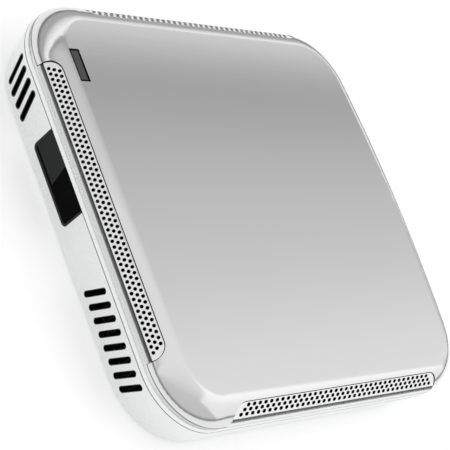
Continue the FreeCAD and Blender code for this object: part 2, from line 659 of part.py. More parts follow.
def top_cover(shell):
    cover = shell.common(box(-BODY_W, BODY_W, -BODY_D, BODY_D, RING_Z + REVEAL, TALL))
    cover = cut(cover, [place_strip(strip_notch(strip), side) for side, strip in STRIPS])
    inside = crowned(COVER_WALL - 0.3, COVER_WALL - 0.3, SEAM_Z)
    bosses = [rod_z(x, y, SEAM_Z, TALL, BOSS_R).common(inside) for x, y in boss_places()]
    cover = fuse([cover] + bosses + key_lugs())
    tools = [rod_z(x, y, 0, SCREW_TOP_Z + ROOT, SCREW_SHANK_R + THREAD_GAP) for x, y in boss_places()]
    tools.append(box(KEY_X - KEY_OPENING_W / 2, KEY_X + KEY_OPENING_W / 2, KEY_Y - KEY_OPENING_D / 2,
                     KEY_Y + KEY_OPENING_D / 2, key_top() - 2 * COVER_WALL, TALL))
    reach = KEY_OPENING_D / 2 + 2 * KEY_LUG_T
    tools.append(rod_y(KEY_X, KEY_Y - reach, KEY_Y + reach, key_top() - KEY_PIN_DROP, KEY_PIN_R + RUN_GAP))
    return cut(cover, tools)


def projection_window():
    pane = window_shape(-GASKET_W - FIT_GAP, WINDOW_SINK, WINDOW_SINK + WINDOW_T)
    return pane.common(box(-BODY_W, BODY_W, -BODY_D, 0, 0, SEAM_Z - 0.1))


def window_gasket():
    frame = window_shape(-FIT_GAP / 2, WINDOW_SINK - 0.15, WINDOW_SINK + WINDOW_T)
    frame = frame.cut(window_shape(-GASKET_W, -1.0, HOUSING_WALL + 2.0))
    return frame.common(box(-BODY_W, BODY_W, -BODY_D, 0, 0, SEAM_Z - 0.1))


def feet():
    return [rod_z(x, y, 0, BASE + FOOT_RECESS - LAID_GAP, FOOT_R - FOOT_GAP) for x, y in FEET]


def housing_screws():
    z0 = BASE + SCREW_SINK
    half_w = SCREW_DRIVE_W / 2
    screws = []
    for x, y in boss_places():
        screw = fuse([rod_z(x, y, z0, z0 + SCREW_HEAD_H - SCREW_HOLE_GAP, SCREW_HEAD_R),
                      rod_z(x, y, z0, SCREW_TOP_Z, SCREW_SHANK_R)])
        arms = [box(x - a, x + a, y - b, y + b, z0 - TRIM, z0 + SCREW_DRIVE_DEPTH)
                for a, b in ((SCREW_DRIVE_HALF, half_w), (half_w, SCREW_DRIVE_HALF))]
        screws.append(screw.cut(fuse(arms)))
    return screws


def tripod_insert():
    x, y = TRIPOD
    return tube_z(x, y, BASE, BASE + TRIPOD_LENGTH - LAID_GAP, TRIPOD_R + TRIPOD_WALL - SEAT_GAP, TRIPOD_R)


def slot_lips():
    """Felt strips behind the disc slot, one above and one below the disc."""
    middle = (SLOT_Z[0] + SLOT_Z[1]) / 2
    band = housing_hollow(FIT_GAP).cut(housing_hollow(FIT_GAP + LIP_T))
    reach = BACK_BOSS[0] - BOSS_R - 1.0
    y0 = BACK_BOSS[1] + BOSS_R + 2.0
    upper = band.common(box(-reach, reach, y0, BODY_D, middle + LIP_GAP / 2, SLOT_Z[1] + LIP_OVERLAP))
    lower = band.common(box(-reach, reach, y0, BODY_D, SLOT_Z[0] - LIP_OVERLAP, middle - LIP_GAP / 2))
    return [upper, lower]


# --- rocker key -----------------------------------------------------------------------------------

def key_top():
    return crown_z(abs(KEY_X)) - KEY_TOP_DROP


def key_lug_ys():
    inner = KEY_OPENING_D / 2
    return [(KEY_Y + inner, KEY_Y + inner + KEY_LUG_T), (KEY_Y - inner - KEY_LUG_T, KEY_Y - inner)]


def key_lugs():
    """Ears under the cover that hold the rocker key's pins, and pillars for its switch board."""
    ceiling = key_top() - COVER_WALL + 0.6
    z0 = key_top() - KEY_PIN_DROP - KEY_LUG_DROP
    ears = [box(KEY_X - KEY_LUG_HALF, KEY_X + KEY_LUG_HALF, y0, y1, z0, ceiling) for y0, y1 in key_lug_ys()]
    board_top = key_board_z() + KEY_BOARD_T
    out = KEY_OPENING_W / 2 + KEY_PILLAR_OUT
    low = board_top + LAID_GAP
    return ears + [rod_z(KEY_X + sx * out, KEY_Y, low, ceiling, KEY_PILLAR_R) for sx in (-1, 1)]


def rocker_key():
    half_w = KEY_OPENING_W / 2 - KEY_GAP
    half_d = KEY_OPENING_D / 2 - KEY_GAP
    top = key_top()
    z0 = top - KEY_DEPTH
    cap = box(KEY_X - half_w, KEY_X + half_w, KEY_Y - half_d, KEY_Y + half_d, z0, top)
    cap = cap.makeFillet(KEY_EDGE_R, [e for e in cap.Edges if e.BoundBox.ZMin > top - EPS])
    pin_half = KEY_OPENING_D / 2 + KEY_LUG_T
    pin = rod_y(KEY_X, KEY_Y - pin_half, KEY_Y + pin_half, top - KEY_PIN_DROP, KEY_PIN_R)
    nubs = [rod_z(KEY_X + sx * KEY_NUB_X, KEY_Y, z0 - KEY_NUB_H, z0 + ROOT, KEY_NUB_R) for sx in (-1, 1)]
    return fuse([cap, pin] + nubs)


def key_board_z():
    return key_top() - KEY_DEPTH - KEY_NUB_H - KEY_TRAVEL_GAP - KEY_SWITCH_H - KEY_BOARD_T


def key_switch_board():
    z0 = key_board_z()
    z1 = z0 + KEY_BOARD_T
    half_w = KEY_OPENING_W / 2 + KEY_BOARD_OUT
    parts = [box(KEY_X - half_w, KEY_X + half_w, KEY_Y - KEY_BOARD_HALF_D, KEY_Y + KEY_BOARD_HALF_D, z0, z1)]
    for sx in (-1, 1):
        x = KEY_X + sx * KEY_NUB_X
        parts.append(box(x - KEY_SWITCH_HALF, x + KEY_SWITCH_HALF, KEY_Y - KEY_SWITCH_HALF,
                         KEY_Y + KEY_SWITCH_HALF, z1, z1 + KEY_SWITCH_H - PLUNGER_H))
        parts.append(rod_z(x, KEY_Y, z1, z1 + KEY_SWITCH_H, PLUNGER_R))
    return fuse(parts)


# --- side buttons ---------------------------------------------------------------------------------

def side_button(y):
    face = -SIDE_X + wall_lean(BUTTON_Z) - BUTTON_PROUD
    inner = -SIDE_X + wall_lean(BUTTON_Z - FLANGE_R) + HOUSING_WALL + FLANGE_GAP
    stem_end = SWITCH_FACE_X - BUTTON_TRAVEL - STEM_GAP
    cap = rod_x(face, inner + FLANGE_T / 2, y, BUTTON_Z, BUTTON_R)
    cap = cap.makeFillet(BUTTON_EDGE_R, [e for e in cap.Edges if e.BoundBox.XMax < face + EPS])
    flange = rod_x(inner, inner + FLANGE_T, y, BUTTON_Z, FLANGE_R)
    return fuse([cap, flange, rod_x(inner, stem_end, y, BUTTON_Z, STEM_R)])


def button_bores():
    end = -SIDE_X + 4 * HOUSING_WALL
    return [rod_x(-BODY_W, end, y, BUTTON_Z, BUTTON_R + BUTTON_GAP) for y in BUTTON_YS]


def side_board_x():
    x0 = SWITCH_FACE_X + SWITCH_DEPTH
    return x0, x0 + SIDE_BOARD_T


def side_switch_board():
    x0, x1 = side_board_x()
    parts = [box(x0, x1, BUTTON_YS[0] - SIDE_BOARD_END, BUTTON_YS[1] + SIDE_BOARD_END,
                 FLOOR_Z + LAID_GAP, SIDE_BOARD_TOP)]
    for y in BUTTON_YS:
        parts.append(box(SWITCH_FACE_X + SWITCH_PLUNGER, x0, y - SWITCH_HALF, y + SWITCH_HALF,
                         BUTTON_Z - SWITCH_HALF, BUTTON_Z + SWITCH_HALF))
        parts.append(rod_x(SWITCH_FACE_X, x0, y, BUTTON_Z, SWITCH_PLUNGER_R))
    return fuse(parts)


def switch_board_ribs():
    """Two slotted pillars on the floor that hold the side board by its ends."""
    x0, x1 = side_board_x()
    ribs = []
    for y, sy in ((BUTTON_YS[0] - SIDE_BOARD_END, -1), (BUTTON_YS[1] + SIDE_BOARD_END, 1)):
        y0, y1 = sorted((y + sy * RIB_OUT, y - sy * RIB_IN))
        rib = box(x0 - RIB_WALL, x1 + RIB_WALL, y0, y1, FLOOR_Z - ROOT, RIB_TOP)
        y0, y1 = sorted((y + sy * RIB_GAP, y - sy * (RIB_IN + TRIM)))
        ribs.append(rib.cut(box(x0 - RIB_GAP, x1 + RIB_GAP, y0, y1, FLOOR_Z, RIB_TOP + TRIM)))
    return ribs


# --- boards, sockets and battery ------------------------------------------------------------------

def port_box(name):
    x, w, h, depth = PORTS[name]
    z0 = BOARD_Z + BOARD_T
    y1 = back_face_y(abs(x) + w / 2) - wall_lean(z0) - PORT_SINK
    return box(x - w / 2, x + w / 2, y1 - depth, y1, z0, z0 + h)


def port_openings():
    z0 = BOARD_Z + BOARD_T - PORT_GAP
    y0 = BACK_Y - 7.75
    return [box(x - w / 2 - PORT_GAP, x + w / 2 + PORT_GAP, y0, BODY_D, z0, z0 + h + 2 * PORT_GAP)
            for x, w, h, depth in PORTS.values()]


def socket(name):
    """A board-edge socket with its mouth open to the back."""
    body = port_box(name)
    b = body.BoundBox
    x, z = b.Center.x, b.Center.z
    if name in JACK_BORE_R:
        body = body.cut(rod_y(x, b.YMin + 2.0, b.YMax + TRIM, z, JACK_BORE_R[name]))
        if name == "power_jack":
            body = fuse([body, rod_y(x, b.YMin + 1.0, b.YMax - 1.0, z, POWER_PIN_R)])
        return body
    body = body.cut(box(b.XMin + PORT_WALL, b.XMax - PORT_WALL, b.YMin + 2.0, b.YMax + TRIM,
                        b.ZMin + PORT_WALL, b.ZMax - PORT_WALL))
    half = b.XLength / 2 - TONGUE_MARGIN
    z += TONGUE_RISE[name]
    tongue = box(x - half, x + half, b.YMin + 1.0, b.YMax - 2.0, z - TONGUE_HALF_T, z + TONGUE_HALF_T)
    return fuse([body, tongue])


def board_posts():
    top = BOARD_Z - LAID_GAP
    return [(sx * (SIDE_X - 21.5), y, top, BOARD_POST_R) for sx in (-1, 1) for y in BOARD_POSTS_Y]


def main_board():
    x0, x1, y0 = BOARD
    board = box(x0, x1, y0, BACK_Y - HOUSING_WALL - 1.8, BOARD_Z, BOARD_Z + BOARD_T)
    inner = HOUSING_WALL + wall_lean(BOARD_Z) + BOARD_EDGE_GAP
    room = Part.Face(outline_wire(inner, 0, BOTTOM_CORNER_EXTRA)).extrude(V(0, 0, TALL))
    holes = [rod_z(x, y, 0, TALL, SMALL_SCREW_R + SCREW_HOLE_GAP) for x, y, z, r in board_posts()]
    return cut(board.common(room), holes)


def board_screws():
    z = BOARD_Z + BOARD_T + SEAT_GAP
    return [small_screw(x, y, z, SMALL_HEAD_H, 3.6) for x, y, top, r in board_posts()]


def board_chips():
    """Processor under its spreader, memory, drive controller and inductors, soldered to the main board."""
    z0 = BOARD_Z + BOARD_T + 0.02
    chips = []
    for x, back, w, d, h in CHIPS:
        y = BOARD[2] + back
        chip = box(x - w / 2, x + w / 2, y - d / 2, y + d / 2, z0, z0 + h)
        top_edges = [e for e in chip.Edges if e.BoundBox.ZMin > z0 + h - EPS]
        chips.append(chip.makeChamfer(CHIP_CHAMFER, top_edges))
    return chips


def battery_pack():
    x0, x1, y0, y1 = BATTERY
    z0 = FLOOR_Z + LAID_GAP
    pack = box(x0, x1, y0, y1, z0, z0 + BATTERY_T)
    return pack.makeFillet(BATTERY_EDGE_R, [e for e in pack.Edges if e.BoundBox.YLength > (y1 - y0) / 2])


def battery_stops():
    """Low ribs on the floor round the battery."""
    x0, x1, y0, y1 = BATTERY
    z0, z1 = FLOOR_Z - ROOT, FLOOR_Z + STOP_H
    near, far = STOP_GAP, STOP_GAP + STOP_T
    return [box(x0 + 6, x1 - 8, y0 - far, y0 - near, z0, z1),
            box(x0 + 6, x1 - 20, y1 + near, y1 + far, z0, z1),
            box(x0 - far, x0 - near, y0 + 8, y1 - 8, z0, z1)]


# --- gears ----------------------------------------------------------------------------------------

def gear(teeth, thickness, bore_r, first_tooth_deg):
    """Involute spur gear standing on the XY plane, with a tooth at first_tooth_deg."""
    pitch_r = GEAR_MODULE * teeth / 2
    base_r = pitch_r * math.cos(math.radians(PRESSURE_ANGLE))
    root_r = pitch_r - 1.25 * GEAR_MODULE
    tip_r = pitch_r + 0.9 * GEAR_MODULE

    def roll(r):
        a = math.acos(min(1.0, base_r / r))
        return math.tan(a) - a

    half_pitch = math.pi / (2 * teeth) - GEAR_BACKLASH / (2 * pitch_r)
    radii = [max(base_r, root_r) + (tip_r - max(base_r, root_r)) * k / 3 for k in range(4)]
    points = []
    for i in range(teeth):
        middle = math.radians(first_tooth_deg) + 2 * math.pi * i / teeth
        flank = [(r, half_pitch + roll(pitch_r) - roll(r)) for r in radii]
        root = (root_r, half_pitch + roll(pitch_r) + 0.1 / root_r)
        side = ([root] if root_r < base_r else []) + flank
        points += [(r, middle - h) for r, h in side] + [(r, middle + h) for r, h in reversed(side)]
    ring = [V(r * math.cos(a), r * math.sin(a), 0) for r, a in points]
    wire = Part.makePolygon(ring + ring[:1])
    return Part.Face(wire).extrude(V(0, 0, thickness)).cut(rod_z(0, 0, -1, thickness + 1, bore_r))


def stand_along_y(shape, x, y_back, z):
    """Turns a shape drawn on the XY plane so that its height runs forwards from y_back."""
    turned = shape.copy()
    turned.Placement = FreeCAD.Placement(V(x, y_back, z), FreeCAD.Rotation(V(1, 0, 0), 90))
    return turned


# --- light engine ---------------------------------------------------------------------------------

def engine_case():
    x0, x1, y0, y1 = ENGINE
    z0, z1 = ENGINE_Z
    w = ENGINE_WALL
    case = box(x0, x1, y0, y1, z0, z1).cut(box(x0 + w, x1 - w, y0 + w, y1 - w, z0 + w, z1 + TRIM))
    chip_x, chip_z = CHIP_HALF[0] + 0.4, CHIP_HALF[1] + 0.5
    tools = [rod_y(LENS_X, y0 - TRIM, y0 + w + TRIM, LENS_Z, SLEEVE_BORE_R - 0.8),
             box(LENS_X - chip_x, LENS_X + chip_x, y1 - w - TRIM, y1 + TRIM,
                 LENS_Z - chip_z, LENS_Z + chip_z)]
    for wall in ((x0 - TRIM, x0 + w + TRIM), (x1 - w - TRIM, x1 + TRIM)):
        tools.append(box(wall[0], wall[1], LAMP_Y - LAMP_WINDOW_HALF, LAMP_Y + LAMP_WINDOW_HALF,
                         LENS_Z - LAMP_WINDOW_HALF, LENS_Z + LAMP_WINDOW_HALF))
    return cut(case, tools)


def engine_pads():
    """Pillars on the floor that carry the light engine, the blower and the heat sinks."""
    z0 = FLOOR_Z - ROOT
    pads = []
    for (x0, x1, y0, y1), top, in_y in ((ENGINE, ENGINE_Z[0], 3.0), (BLOWER, BLOWER_Z[0], 4.0)):
        corners = [(x, y) for x in (x0 + 4.0, x1 - 4.0) for y in (y0 + in_y, y1 - in_y)]
        pads += [rod_z(x, y, z0, top - LAID_GAP, 2.0) for x, y in corners]
    for x0, x1, y0, y1 in (LEFT_SINK, RIGHT_SINK):
        pads.append(box(x0 + 1.5, x1 - 1.5, y0 + 1.5, y1 - 1.5, z0, SINK_Z[0] - LAID_GAP))
    return pads


def engine_lid():
    x0, x1, y0, y1 = ENGINE
    z = ENGINE_Z[1] + SEAT_GAP
    return box(x0, x1, y0, y1, z, z + LID_T)


def relay_prism():
    """Right-angle prism pair in front of the mirror chip."""
    y1 = ENGINE[3] - ENGINE_WALL - 0.9
    z0 = ENGINE_Z[0] + ENGINE_WALL + SEAT_GAP
    block = box(LENS_X - PRISM_HALF, LENS_X + PRISM_HALF, y1 - 2 * PRISM_HALF, y1, z0, LENS_Z + PRISM_HALF)
    return block.makeChamfer(0.3, [e for e in block.Edges if e.BoundBox.ZLength > PRISM_HALF])


def condenser_lenses():
    lenses = []
    z0 = ENGINE_Z[0] + ENGINE_WALL + SEAT_GAP
    for x in CONDENSERS_X:
        middle = x + CONDENSER_HALF_T - 0.3 - CONDENSER_BALL_R
        disc = rod_x(x - CONDENSER_HALF_T, x + CONDENSER_HALF_T, LAMP_Y, LENS_Z, CONDENSER_R)
        ball = Part.makeSphere(CONDENSER_BALL_R, V(middle, LAMP_Y, LENS_Z)).common(disc)
        foot = box(x - 1.2, x + 0.2, LAMP_Y - 2.0, LAMP_Y + 2.0, z0, LENS_Z - 2.5)
        lenses.append(fuse([ball, foot]))
    return lenses


def dichroic_mirrors():
    mirrors = []
    z0 = ENGINE_Z[0] + ENGINE_WALL + SEAT_GAP
    for x in MIRRORS_X:
        plate = box(-MIRROR_HALF_T, MIRROR_HALF_T, -MIRROR_HALF, MIRROR_HALF, z0, LENS_Z + 4.0)
        plate.rotate(V(0, 0, 0), V(0, 0, 1), MIRROR_ANGLE)
        plate.translate(V(x, LAMP_Y, 0))
        mirrors.append(plate)
    return mirrors


def mirror_chip_board():
    y0 = ENGINE[3] + SEAT_GAP
    y1 = y0 + 1.0
    (chip_x, chip_z), (back_x, back_z) = CHIP_HALF, CHIP_BACK_HALF
    board = box(LENS_X - CHIP_BOARD_HALF, LENS_X + CHIP_BOARD_HALF, y0, y1,
                ENGINE_Z[0] + 0.3, ENGINE_Z[1] - 0.3)
    chip = box(LENS_X - chip_x, LENS_X + chip_x, y0 - ENGINE_WALL - 0.3, y0 + 0.2,
               LENS_Z - chip_z, LENS_Z + chip_z)
    back = box(LENS_X - back_x, LENS_X + back_x, y1, y1 + 1.2, LENS_Z - back_z, LENS_Z + back_z)
    return fuse([board, chip, back])


def led_modules():
    x0, x1, y0, y1 = ENGINE
    z0, z1 = LENS_Z - LAMP_BOARD_HALF, LENS_Z + LAMP_BOARD_HALF
    modules = []
    for face, sx in ((x0, -1), (x1, 1)):
        near = face + sx * SEAT_GAP
        left, right = sorted((near, face + sx * LAMP_BOARD_T))
        board = box(left, right, y0 + 1, y1 - 1, z0, z1)
        left, right = sorted((near, face - sx * 0.9))
        die = box(left, right, LAMP_Y - LAMP_DIE_HALF, LAMP_Y + LAMP_DIE_HALF, LENS_Z - LAMP_DIE_HALF,
                  LENS_Z + LAMP_DIE_HALF)
        modules.append(fuse([board, die]))
    return modules


def tube_y(y0, y1, r_out, r_in):
    """Tube on the lens axis."""
    return rod_y(LENS_X, y0, y1, LENS_Z, r_out).cut(rod_y(LENS_X, y0, y1, LENS_Z, r_in))


def lens_sleeve():
    y1 = ENGINE[2] - SEAT_GAP
    gear_y0, gear_y1 = FOCUS_GEAR_Y[0] - FLANGE_GAP, FOCUS_GEAR_Y[1] + FLANGE_GAP
    inner = SLEEVE_R - ROOT
    return fuse([tube_y(SLEEVE_FRONT, y1, SLEEVE_R, SLEEVE_BORE_R),
                 tube_y(gear_y1, y1, SLEEVE_R + 1.0, inner),
                 tube_y(gear_y0 - 0.5, gear_y0, SLEEVE_R + 0.4, inner)])


def lens_disc(y0, y1, r, bulge):
    """Biconvex lens on the lens axis: a disc between two balls that leave it flat-edged."""
    ball_r = (r * r + bulge * bulge) / (2 * bulge)
    front = Part.makeSphere(ball_r, V(LENS_X, y0 + ball_r, LENS_Z))
    back = Part.makeSphere(ball_r, V(LENS_X, y1 - ball_r, LENS_Z))
    return rod_y(LENS_X, y0 - TRIM, y1 + TRIM, LENS_Z, r).common(front).common(back)


def lens_cell():
    y0, y1 = CELL_Y
    r = SLEEVE_BORE_R - RUN_GAP
    return tube_y(y0, y1, r, r - CELL_WALL - CELL_LIP).cut(
        rod_y(LENS_X, y0 - TRIM, y1 - 0.8, LENS_Z, r - CELL_WALL))


def front_lens():
    return lens_disc(CELL_Y[0] + 0.4, CELL_Y[1] - 0.83, SLEEVE_BORE_R - RUN_GAP - CELL_WALL - 0.02, 0.9)


def rear_lens():
    return lens_disc(REAR_LENS_Y[0], REAR_LENS_Y[1], SLEEVE_BORE_R - 0.02, 0.8)


def focus_ring():
    y0, y1 = FOCUS_GEAR_Y
    return stand_along_y(gear(FOCUS_TEETH, y1 - y0, SLEEVE_R + RUN_GAP, PINION_ANGLE), LENS_X, y1, LENS_Z)


def pinion_place():
    reach = GEAR_MODULE * (FOCUS_TEETH + PINION_TEETH) / 2
    a = math.radians(PINION_ANGLE)
    return LENS_X + reach * math.cos(a), LENS_Z + reach * math.sin(a)


def focus_pinion():
    x, z = pinion_place()
    y0, y1 = FOCUS_GEAR_Y
    facing = PINION_ANGLE + 180.0 + 180.0 / PINION_TEETH
    wheel = stand_along_y(gear(PINION_TEETH, y1 - y0, PINION_SHAFT_R - 0.1, facing), x, y1, z)
    return fuse([wheel, rod_y(x, y0 - BODY_GAP, y1 + 1.4, z, PINION_SHAFT_R)])


def focus_motor():
    x, z = pinion_place()
    y0, y1 = FOCUS_GEAR_Y[1] + 0.4, ENGINE[2] - SEAT_GAP
    can = rod_y(x, y0, y1, z, MOTOR_R).cut(rod_y(x, y0 - TRIM, y0 + 2.0, z, PINION_SHAFT_R + RUN_GAP))
    front_edges = [e for e in can.Edges if e.BoundBox.YMax < y0 + EPS]
    return can.makeFillet(0.3, [e for e in front_edges if e.Length > 2 * MOTOR_R])


# --- cooling --------------------------------------------------------------------------------------

def left_heat_sink():
    x0, x1, y0, y1 = LEFT_SINK
    z0, z1 = SINK_Z
    shapes = [box(x1 - SINK_BASE_T, x1, y0, y1, z0, z1)]
    for i in range(int((y1 - y0 - FIN_T) / FIN_PITCH) + 1):
        y = y0 + i * FIN_PITCH
        shapes.append(box(x0, x1 - SINK_BASE_T / 2, y, y + FIN_T, z0, z1))
    pad_x = ENGINE[0] - LAMP_BOARD_T - 2 * SEAT_GAP
    shapes.append(box(x1 - 0.1, pad_x, LAMP_Y - 4.75, LAMP_Y + 2.25, LENS_Z - 5.0, LENS_Z + 5.0))
    return fuse(shapes)


def right_heat_sink():
    x0, x1, y0, y1 = RIGHT_SINK
    z0, z1 = SINK_Z
    shapes = [box(x0, x1, y0, y1, z1 - SINK_BASE_T, z1)]
    for i in range(int((x1 - x0 - FIN_T) / FIN_PITCH) + 1):
        x = x0 + i * FIN_PITCH
        shapes.append(box(x, x + FIN_T, y0, y1, z0, z1 - SINK_BASE_T / 2))
    return fuse(shapes)


def spreader_x():
    x0 = ENGINE[1] + LAMP_BOARD_T + 2 * SEAT_GAP
    return x0, x0 + SPREADER_W


def led_spreader():
    """Copper block that takes the heat of the right lamp up to the heat pipe."""
    x0, x1 = spreader_x()
    return box(x0, x1, ENGINE[2] + 1.0, ENGINE[3] - 1.0, FLOOR_Z + LAID_GAP, SINK_Z[1])


def heat_pipe():
    z = SINK_Z[1] + PIPE_R + SEAT_GAP
    x = sum(spreader_x()) / 2
    start_y = ENGINE[3] - PIPE_R
    run_y = (RIGHT_SINK[2] + RIGHT_SINK[3]) / 2
    bend_y = run_y + PIPE_BEND_R
    c = PIPE_BEND_R * math.cos(math.radians(45))
    bend_end = V(x + PIPE_BEND_R, run_y, z)
    path = Part.Wire([Part.makeLine(V(x, start_y, z), V(x, bend_y, z)),
                      Part.Arc(V(x, bend_y, z), V(x + PIPE_BEND_R - c, bend_y - c, z), bend_end).toShape(),
                      Part.makeLine(bend_end, V(RIGHT_SINK[1] - 1.0, run_y, z))])
    profile = Part.Wire([Part.makeCircle(PIPE_R, V(x, start_y, z), V(0, 1, 0))])
    return path.makePipeShell([profile], True, True)


def blower_middle():
    return (BLOWER[0] + BLOWER[1]) / 2, (BLOWER[2] + BLOWER[3]) / 2


def blower_case():
    x0, x1, y0, y1 = BLOWER
    z0, z1 = BLOWER_Z
    cx, cy = blower_middle()
    low, high = z0 + BLOWER_WALL, z1 - BLOWER_WALL
    case = box(x0, x1, y0, y1, z0, z1)
    upright = [e for e in case.Edges if e.BoundBox.ZLength > (z1 - z0) / 2]
    case = case.makeFillet(3.0, [e for e in upright if e.BoundBox.YMax > y1 - EPS])
    hollow = fuse([rod_z(cx, cy, low, high, BLOWER_WHEEL_R + 1.6),
                   box(cx - 2.0, x1 - BLOWER_WALL, y0 - TRIM, cy, low, high),
                   box(x0 + BLOWER_WALL + 0.6, cx, y0 - TRIM, y0 + 4.0, low, high)])
    inlet = rod_z(cx, cy, high - TRIM, z1 + TRIM, BLOWER_WHEEL_R - 2.5)
    return fuse([case.cut(hollow).cut(inlet), rod_z(cx, cy, low - 0.2, z1 - BLOWER_PIN_DROP, BLOWER_PIN_R)])


def blower_rotor():
    z0, z1 = BLOWER_Z
    cx, cy = blower_middle()
    low, high = z0 + BLOWER_WALL + 0.4, z1 - BLOWER_WALL - 0.5
    parts = [rod_z(cx, cy, low, high, BLOWER_HUB_R), rod_z(cx, cy, low, low + 0.6, BLOWER_WHEEL_R)]
    for i in range(BLADES):
        blade = box(BLOWER_HUB_R + 1.6, BLOWER_WHEEL_R - 0.1, -BLADE_HALF_T, BLADE_HALF_T, low + 0.3, high)
        blade.rotate(V(BLOWER_HUB_R, 0, 0), V(0, 0, 1), BLADE_SWEEP)
        blade.rotate(V(0, 0, 0), V(0, 0, 1), 360.0 * i / BLADES)
        blade.translate(V(cx, cy, 0))
        parts.append(blade.common(rod_z(cx, cy, low, high, BLOWER_WHEEL_R)))
    bore_top = z1 - BLOWER_PIN_DROP + BODY_GAP
    return fuse(parts).cut(rod_z(cx, cy, low - TRIM, bore_top, BLOWER_PIN_R + RUN_GAP))


# --- disc drive -----------------------------------------------------------------------------------

def chassis_posts():
    return [(x, y, POST_TOP, POST_R) for x, y in CHASSIS_POSTS]


def chassis_tabs():
    """Folded tabs for the rods, the lead screw, its motor and the roller's hinge."""
    top = CHASSIS_Z + 0.2
    end, start = ROD_X[0] - 0.3, ROD_X[1] + 0.3
    tabs = []
    for y in ROD_YS:
        for x0, x1 in ((end, ROD_X[0] + ROD_TAB_T), (ROD_X[1] - ROD_TAB_T, start)):
            tabs.append(box(x0, x1, y - ROD_TAB_HALF, y + ROD_TAB_HALF, ROD_Z - ROD_TAB_DROP, top))
    half = ROD_TAB_HALF - 0.2
    tabs.append(box(end, ROD_X[0] + ROD_TAB_T, LEAD_Y - half, LEAD_Y + half, LEAD_Z - ROD_TAB_DROP, top))
    tabs.append(box(MOTOR_TAB_X[0], MOTOR_TAB_X[1], LEAD_Y - MOTOR_TAB_HALF, LEAD_Y + MOTOR_TAB_HALF,
                    LEAD_Z - MOTOR_TAB_DROP, top))
    for sx in (-1, 1):
        x0, x1 = sorted(sx * (ARM_X[0] - inside) for inside in HINGE_TAB)
        tabs.append(box(x0, x1, CHASSIS_BACK - 1.0, CRADLE_Y + 2.2, CRADLE_Z - 2.2, CHASSIS_Z + CHASSIS_T))
    return tabs


def drive_chassis():
    """Pressed plate that carries the spindle motor, the pickup's rods and the roller's hinge."""
    z0, z1 = CHASSIS_Z, CHASSIS_Z + CHASSIS_T
    half, back = SIDE_X - CHASSIS_SIDE_IN, CHASSIS_BACK
    ear = half + EAR_W
    right_front, left_ear = SPACERS[0][1] - 8.0, SPACERS[1][1]
    plate = [box(-half, BATTERY[0], LEAD_Y - 20.5, back, z0, z1),
             box(BATTERY[0] - TRIM, half, right_front, back, z0, z1),
             box(ROD_X[0] - 0.3, -half, DISC_Y - 26, back, z0, z1),
             box(half, ear + 1.0, back - 9, back, z0, z1),
             box(half - TRIM, ear, right_front + 4, right_front + 15, z0, z1),
             box(-ear, -half + TRIM, left_ear - 4, left_ear + 7, z0, z1)]
    spacers = [rod_z(x, y, z0, PLATE_Z - SEAT_GAP, SPACER_R) for x, y in SPACERS]
    room_x, room_y = PICKUP_ROOM
    tools = [rod_z(0, DISC_Y, z0 - TRIM, z1 + TRIM, SPINDLE_R - 0.4),
             box(PICKUP_OUT - room_x, PICKUP_IN + room_x, DISC_Y - room_y, DISC_Y + room_y,
                 z0 - 0.1, z1 + TRIM),
             rod_x(ROD_X[0], MOTOR_TAB_X[1] + TRIM / 2, LEAD_Y, LEAD_Z, LEAD_R + RUN_GAP),
             rod_x(-ARM_X[0], ARM_X[0], CRADLE_Y, CRADLE_Z, SHAFT_R + RUN_GAP)]
    tools += [rod_x(ROD_X[0], ROD_X[1], y, ROD_Z, ROD_R + 0.02) for y in ROD_YS]
    tools += [rod_z(x, y, z0 - TRIM, z1 + TRIM, GROMMET_NECK_R + LAID_GAP) for x, y in CHASSIS_POSTS]
    tools += [rod_z(x, y, PLATE_Z - 4.0, TALL, SMALL_SCREW_R + THREAD_GAP) for x, y in SPACERS]
    return cut(fuse(plate + chassis_tabs() + spacers), tools)


def grommet_top():
    return CHASSIS_Z + CHASSIS_T + GROMMET_RIM


def chassis_grommets():
    """Rubber bushes that the chassis floats on."""
    grommets = []
    for x, y in CHASSIS_POSTS:
        z0, z1 = POST_TOP + LAID_GAP, grommet_top()
        body = fuse([rod_z(x, y, z0, CHASSIS_Z - SEAT_GAP, GROMMET_R), rod_z(x, y, z0, z1, GROMMET_NECK_R),
                     rod_z(x, y, CHASSIS_Z + CHASSIS_T + SEAT_GAP, z1, GROMMET_R)])
        grommets.append(body.cut(rod_z(x, y, z0 - TRIM, z1 + TRIM, SMALL_SCREW_R + SCREW_HOLE_GAP)))
    return grommets


def small_screw(x, y, z, head_h, length):
    """Screw with the underside of its head at z."""
    return fuse([rod_z(x, y, z, z + head_h, SMALL_HEAD_R), rod_z(x, y, z - length, z, SMALL_SCREW_R)])


def drive_screws():
    """Screws through the grommets, and screws that hold the guide plate on its spacers."""
    screws = [small_screw(x, y, grommet_top() + SEAT_GAP, 0.7, 6.0) for x, y in CHASSIS_POSTS]
    plate_top = PLATE_Z + PLATE_T + SEAT_GAP
    return screws + [small_screw(x, y, plate_top, SMALL_HEAD_H, 3.5) for x, y in SPACERS]


def disc_guide_plate():
    """Cover of the drive, above the disc, with a stiffening bead round its middle."""
    z0, z1 = PLATE_Z, PLATE_Z + PLATE_T
    wide, narrow, back = SIDE_X - 6.0, SIDE_X - CHASSIS_SIDE_IN, CHASSIS_BACK
    plate = fuse([box(-wide, wide, DISC_Y - 42, back, z0, z1),
                  box(-narrow, narrow, back - 1, back + 28, z0, z1),
                  tube_z(0, DISC_Y, z1 - 0.1, z1 + BEAD_H, BEAD_R[0], BEAD_R[1])])
    tools = [rod_z(x, y, z0 - TRIM, z1 + TRIM, SMALL_SCREW_R + 0.15) for x, y in SPACERS]
    return cut(plate, tools + [rod_z(0, DISC_Y, z0 - TRIM, z1 + TRIM, GUIDE_HOLE_R)])


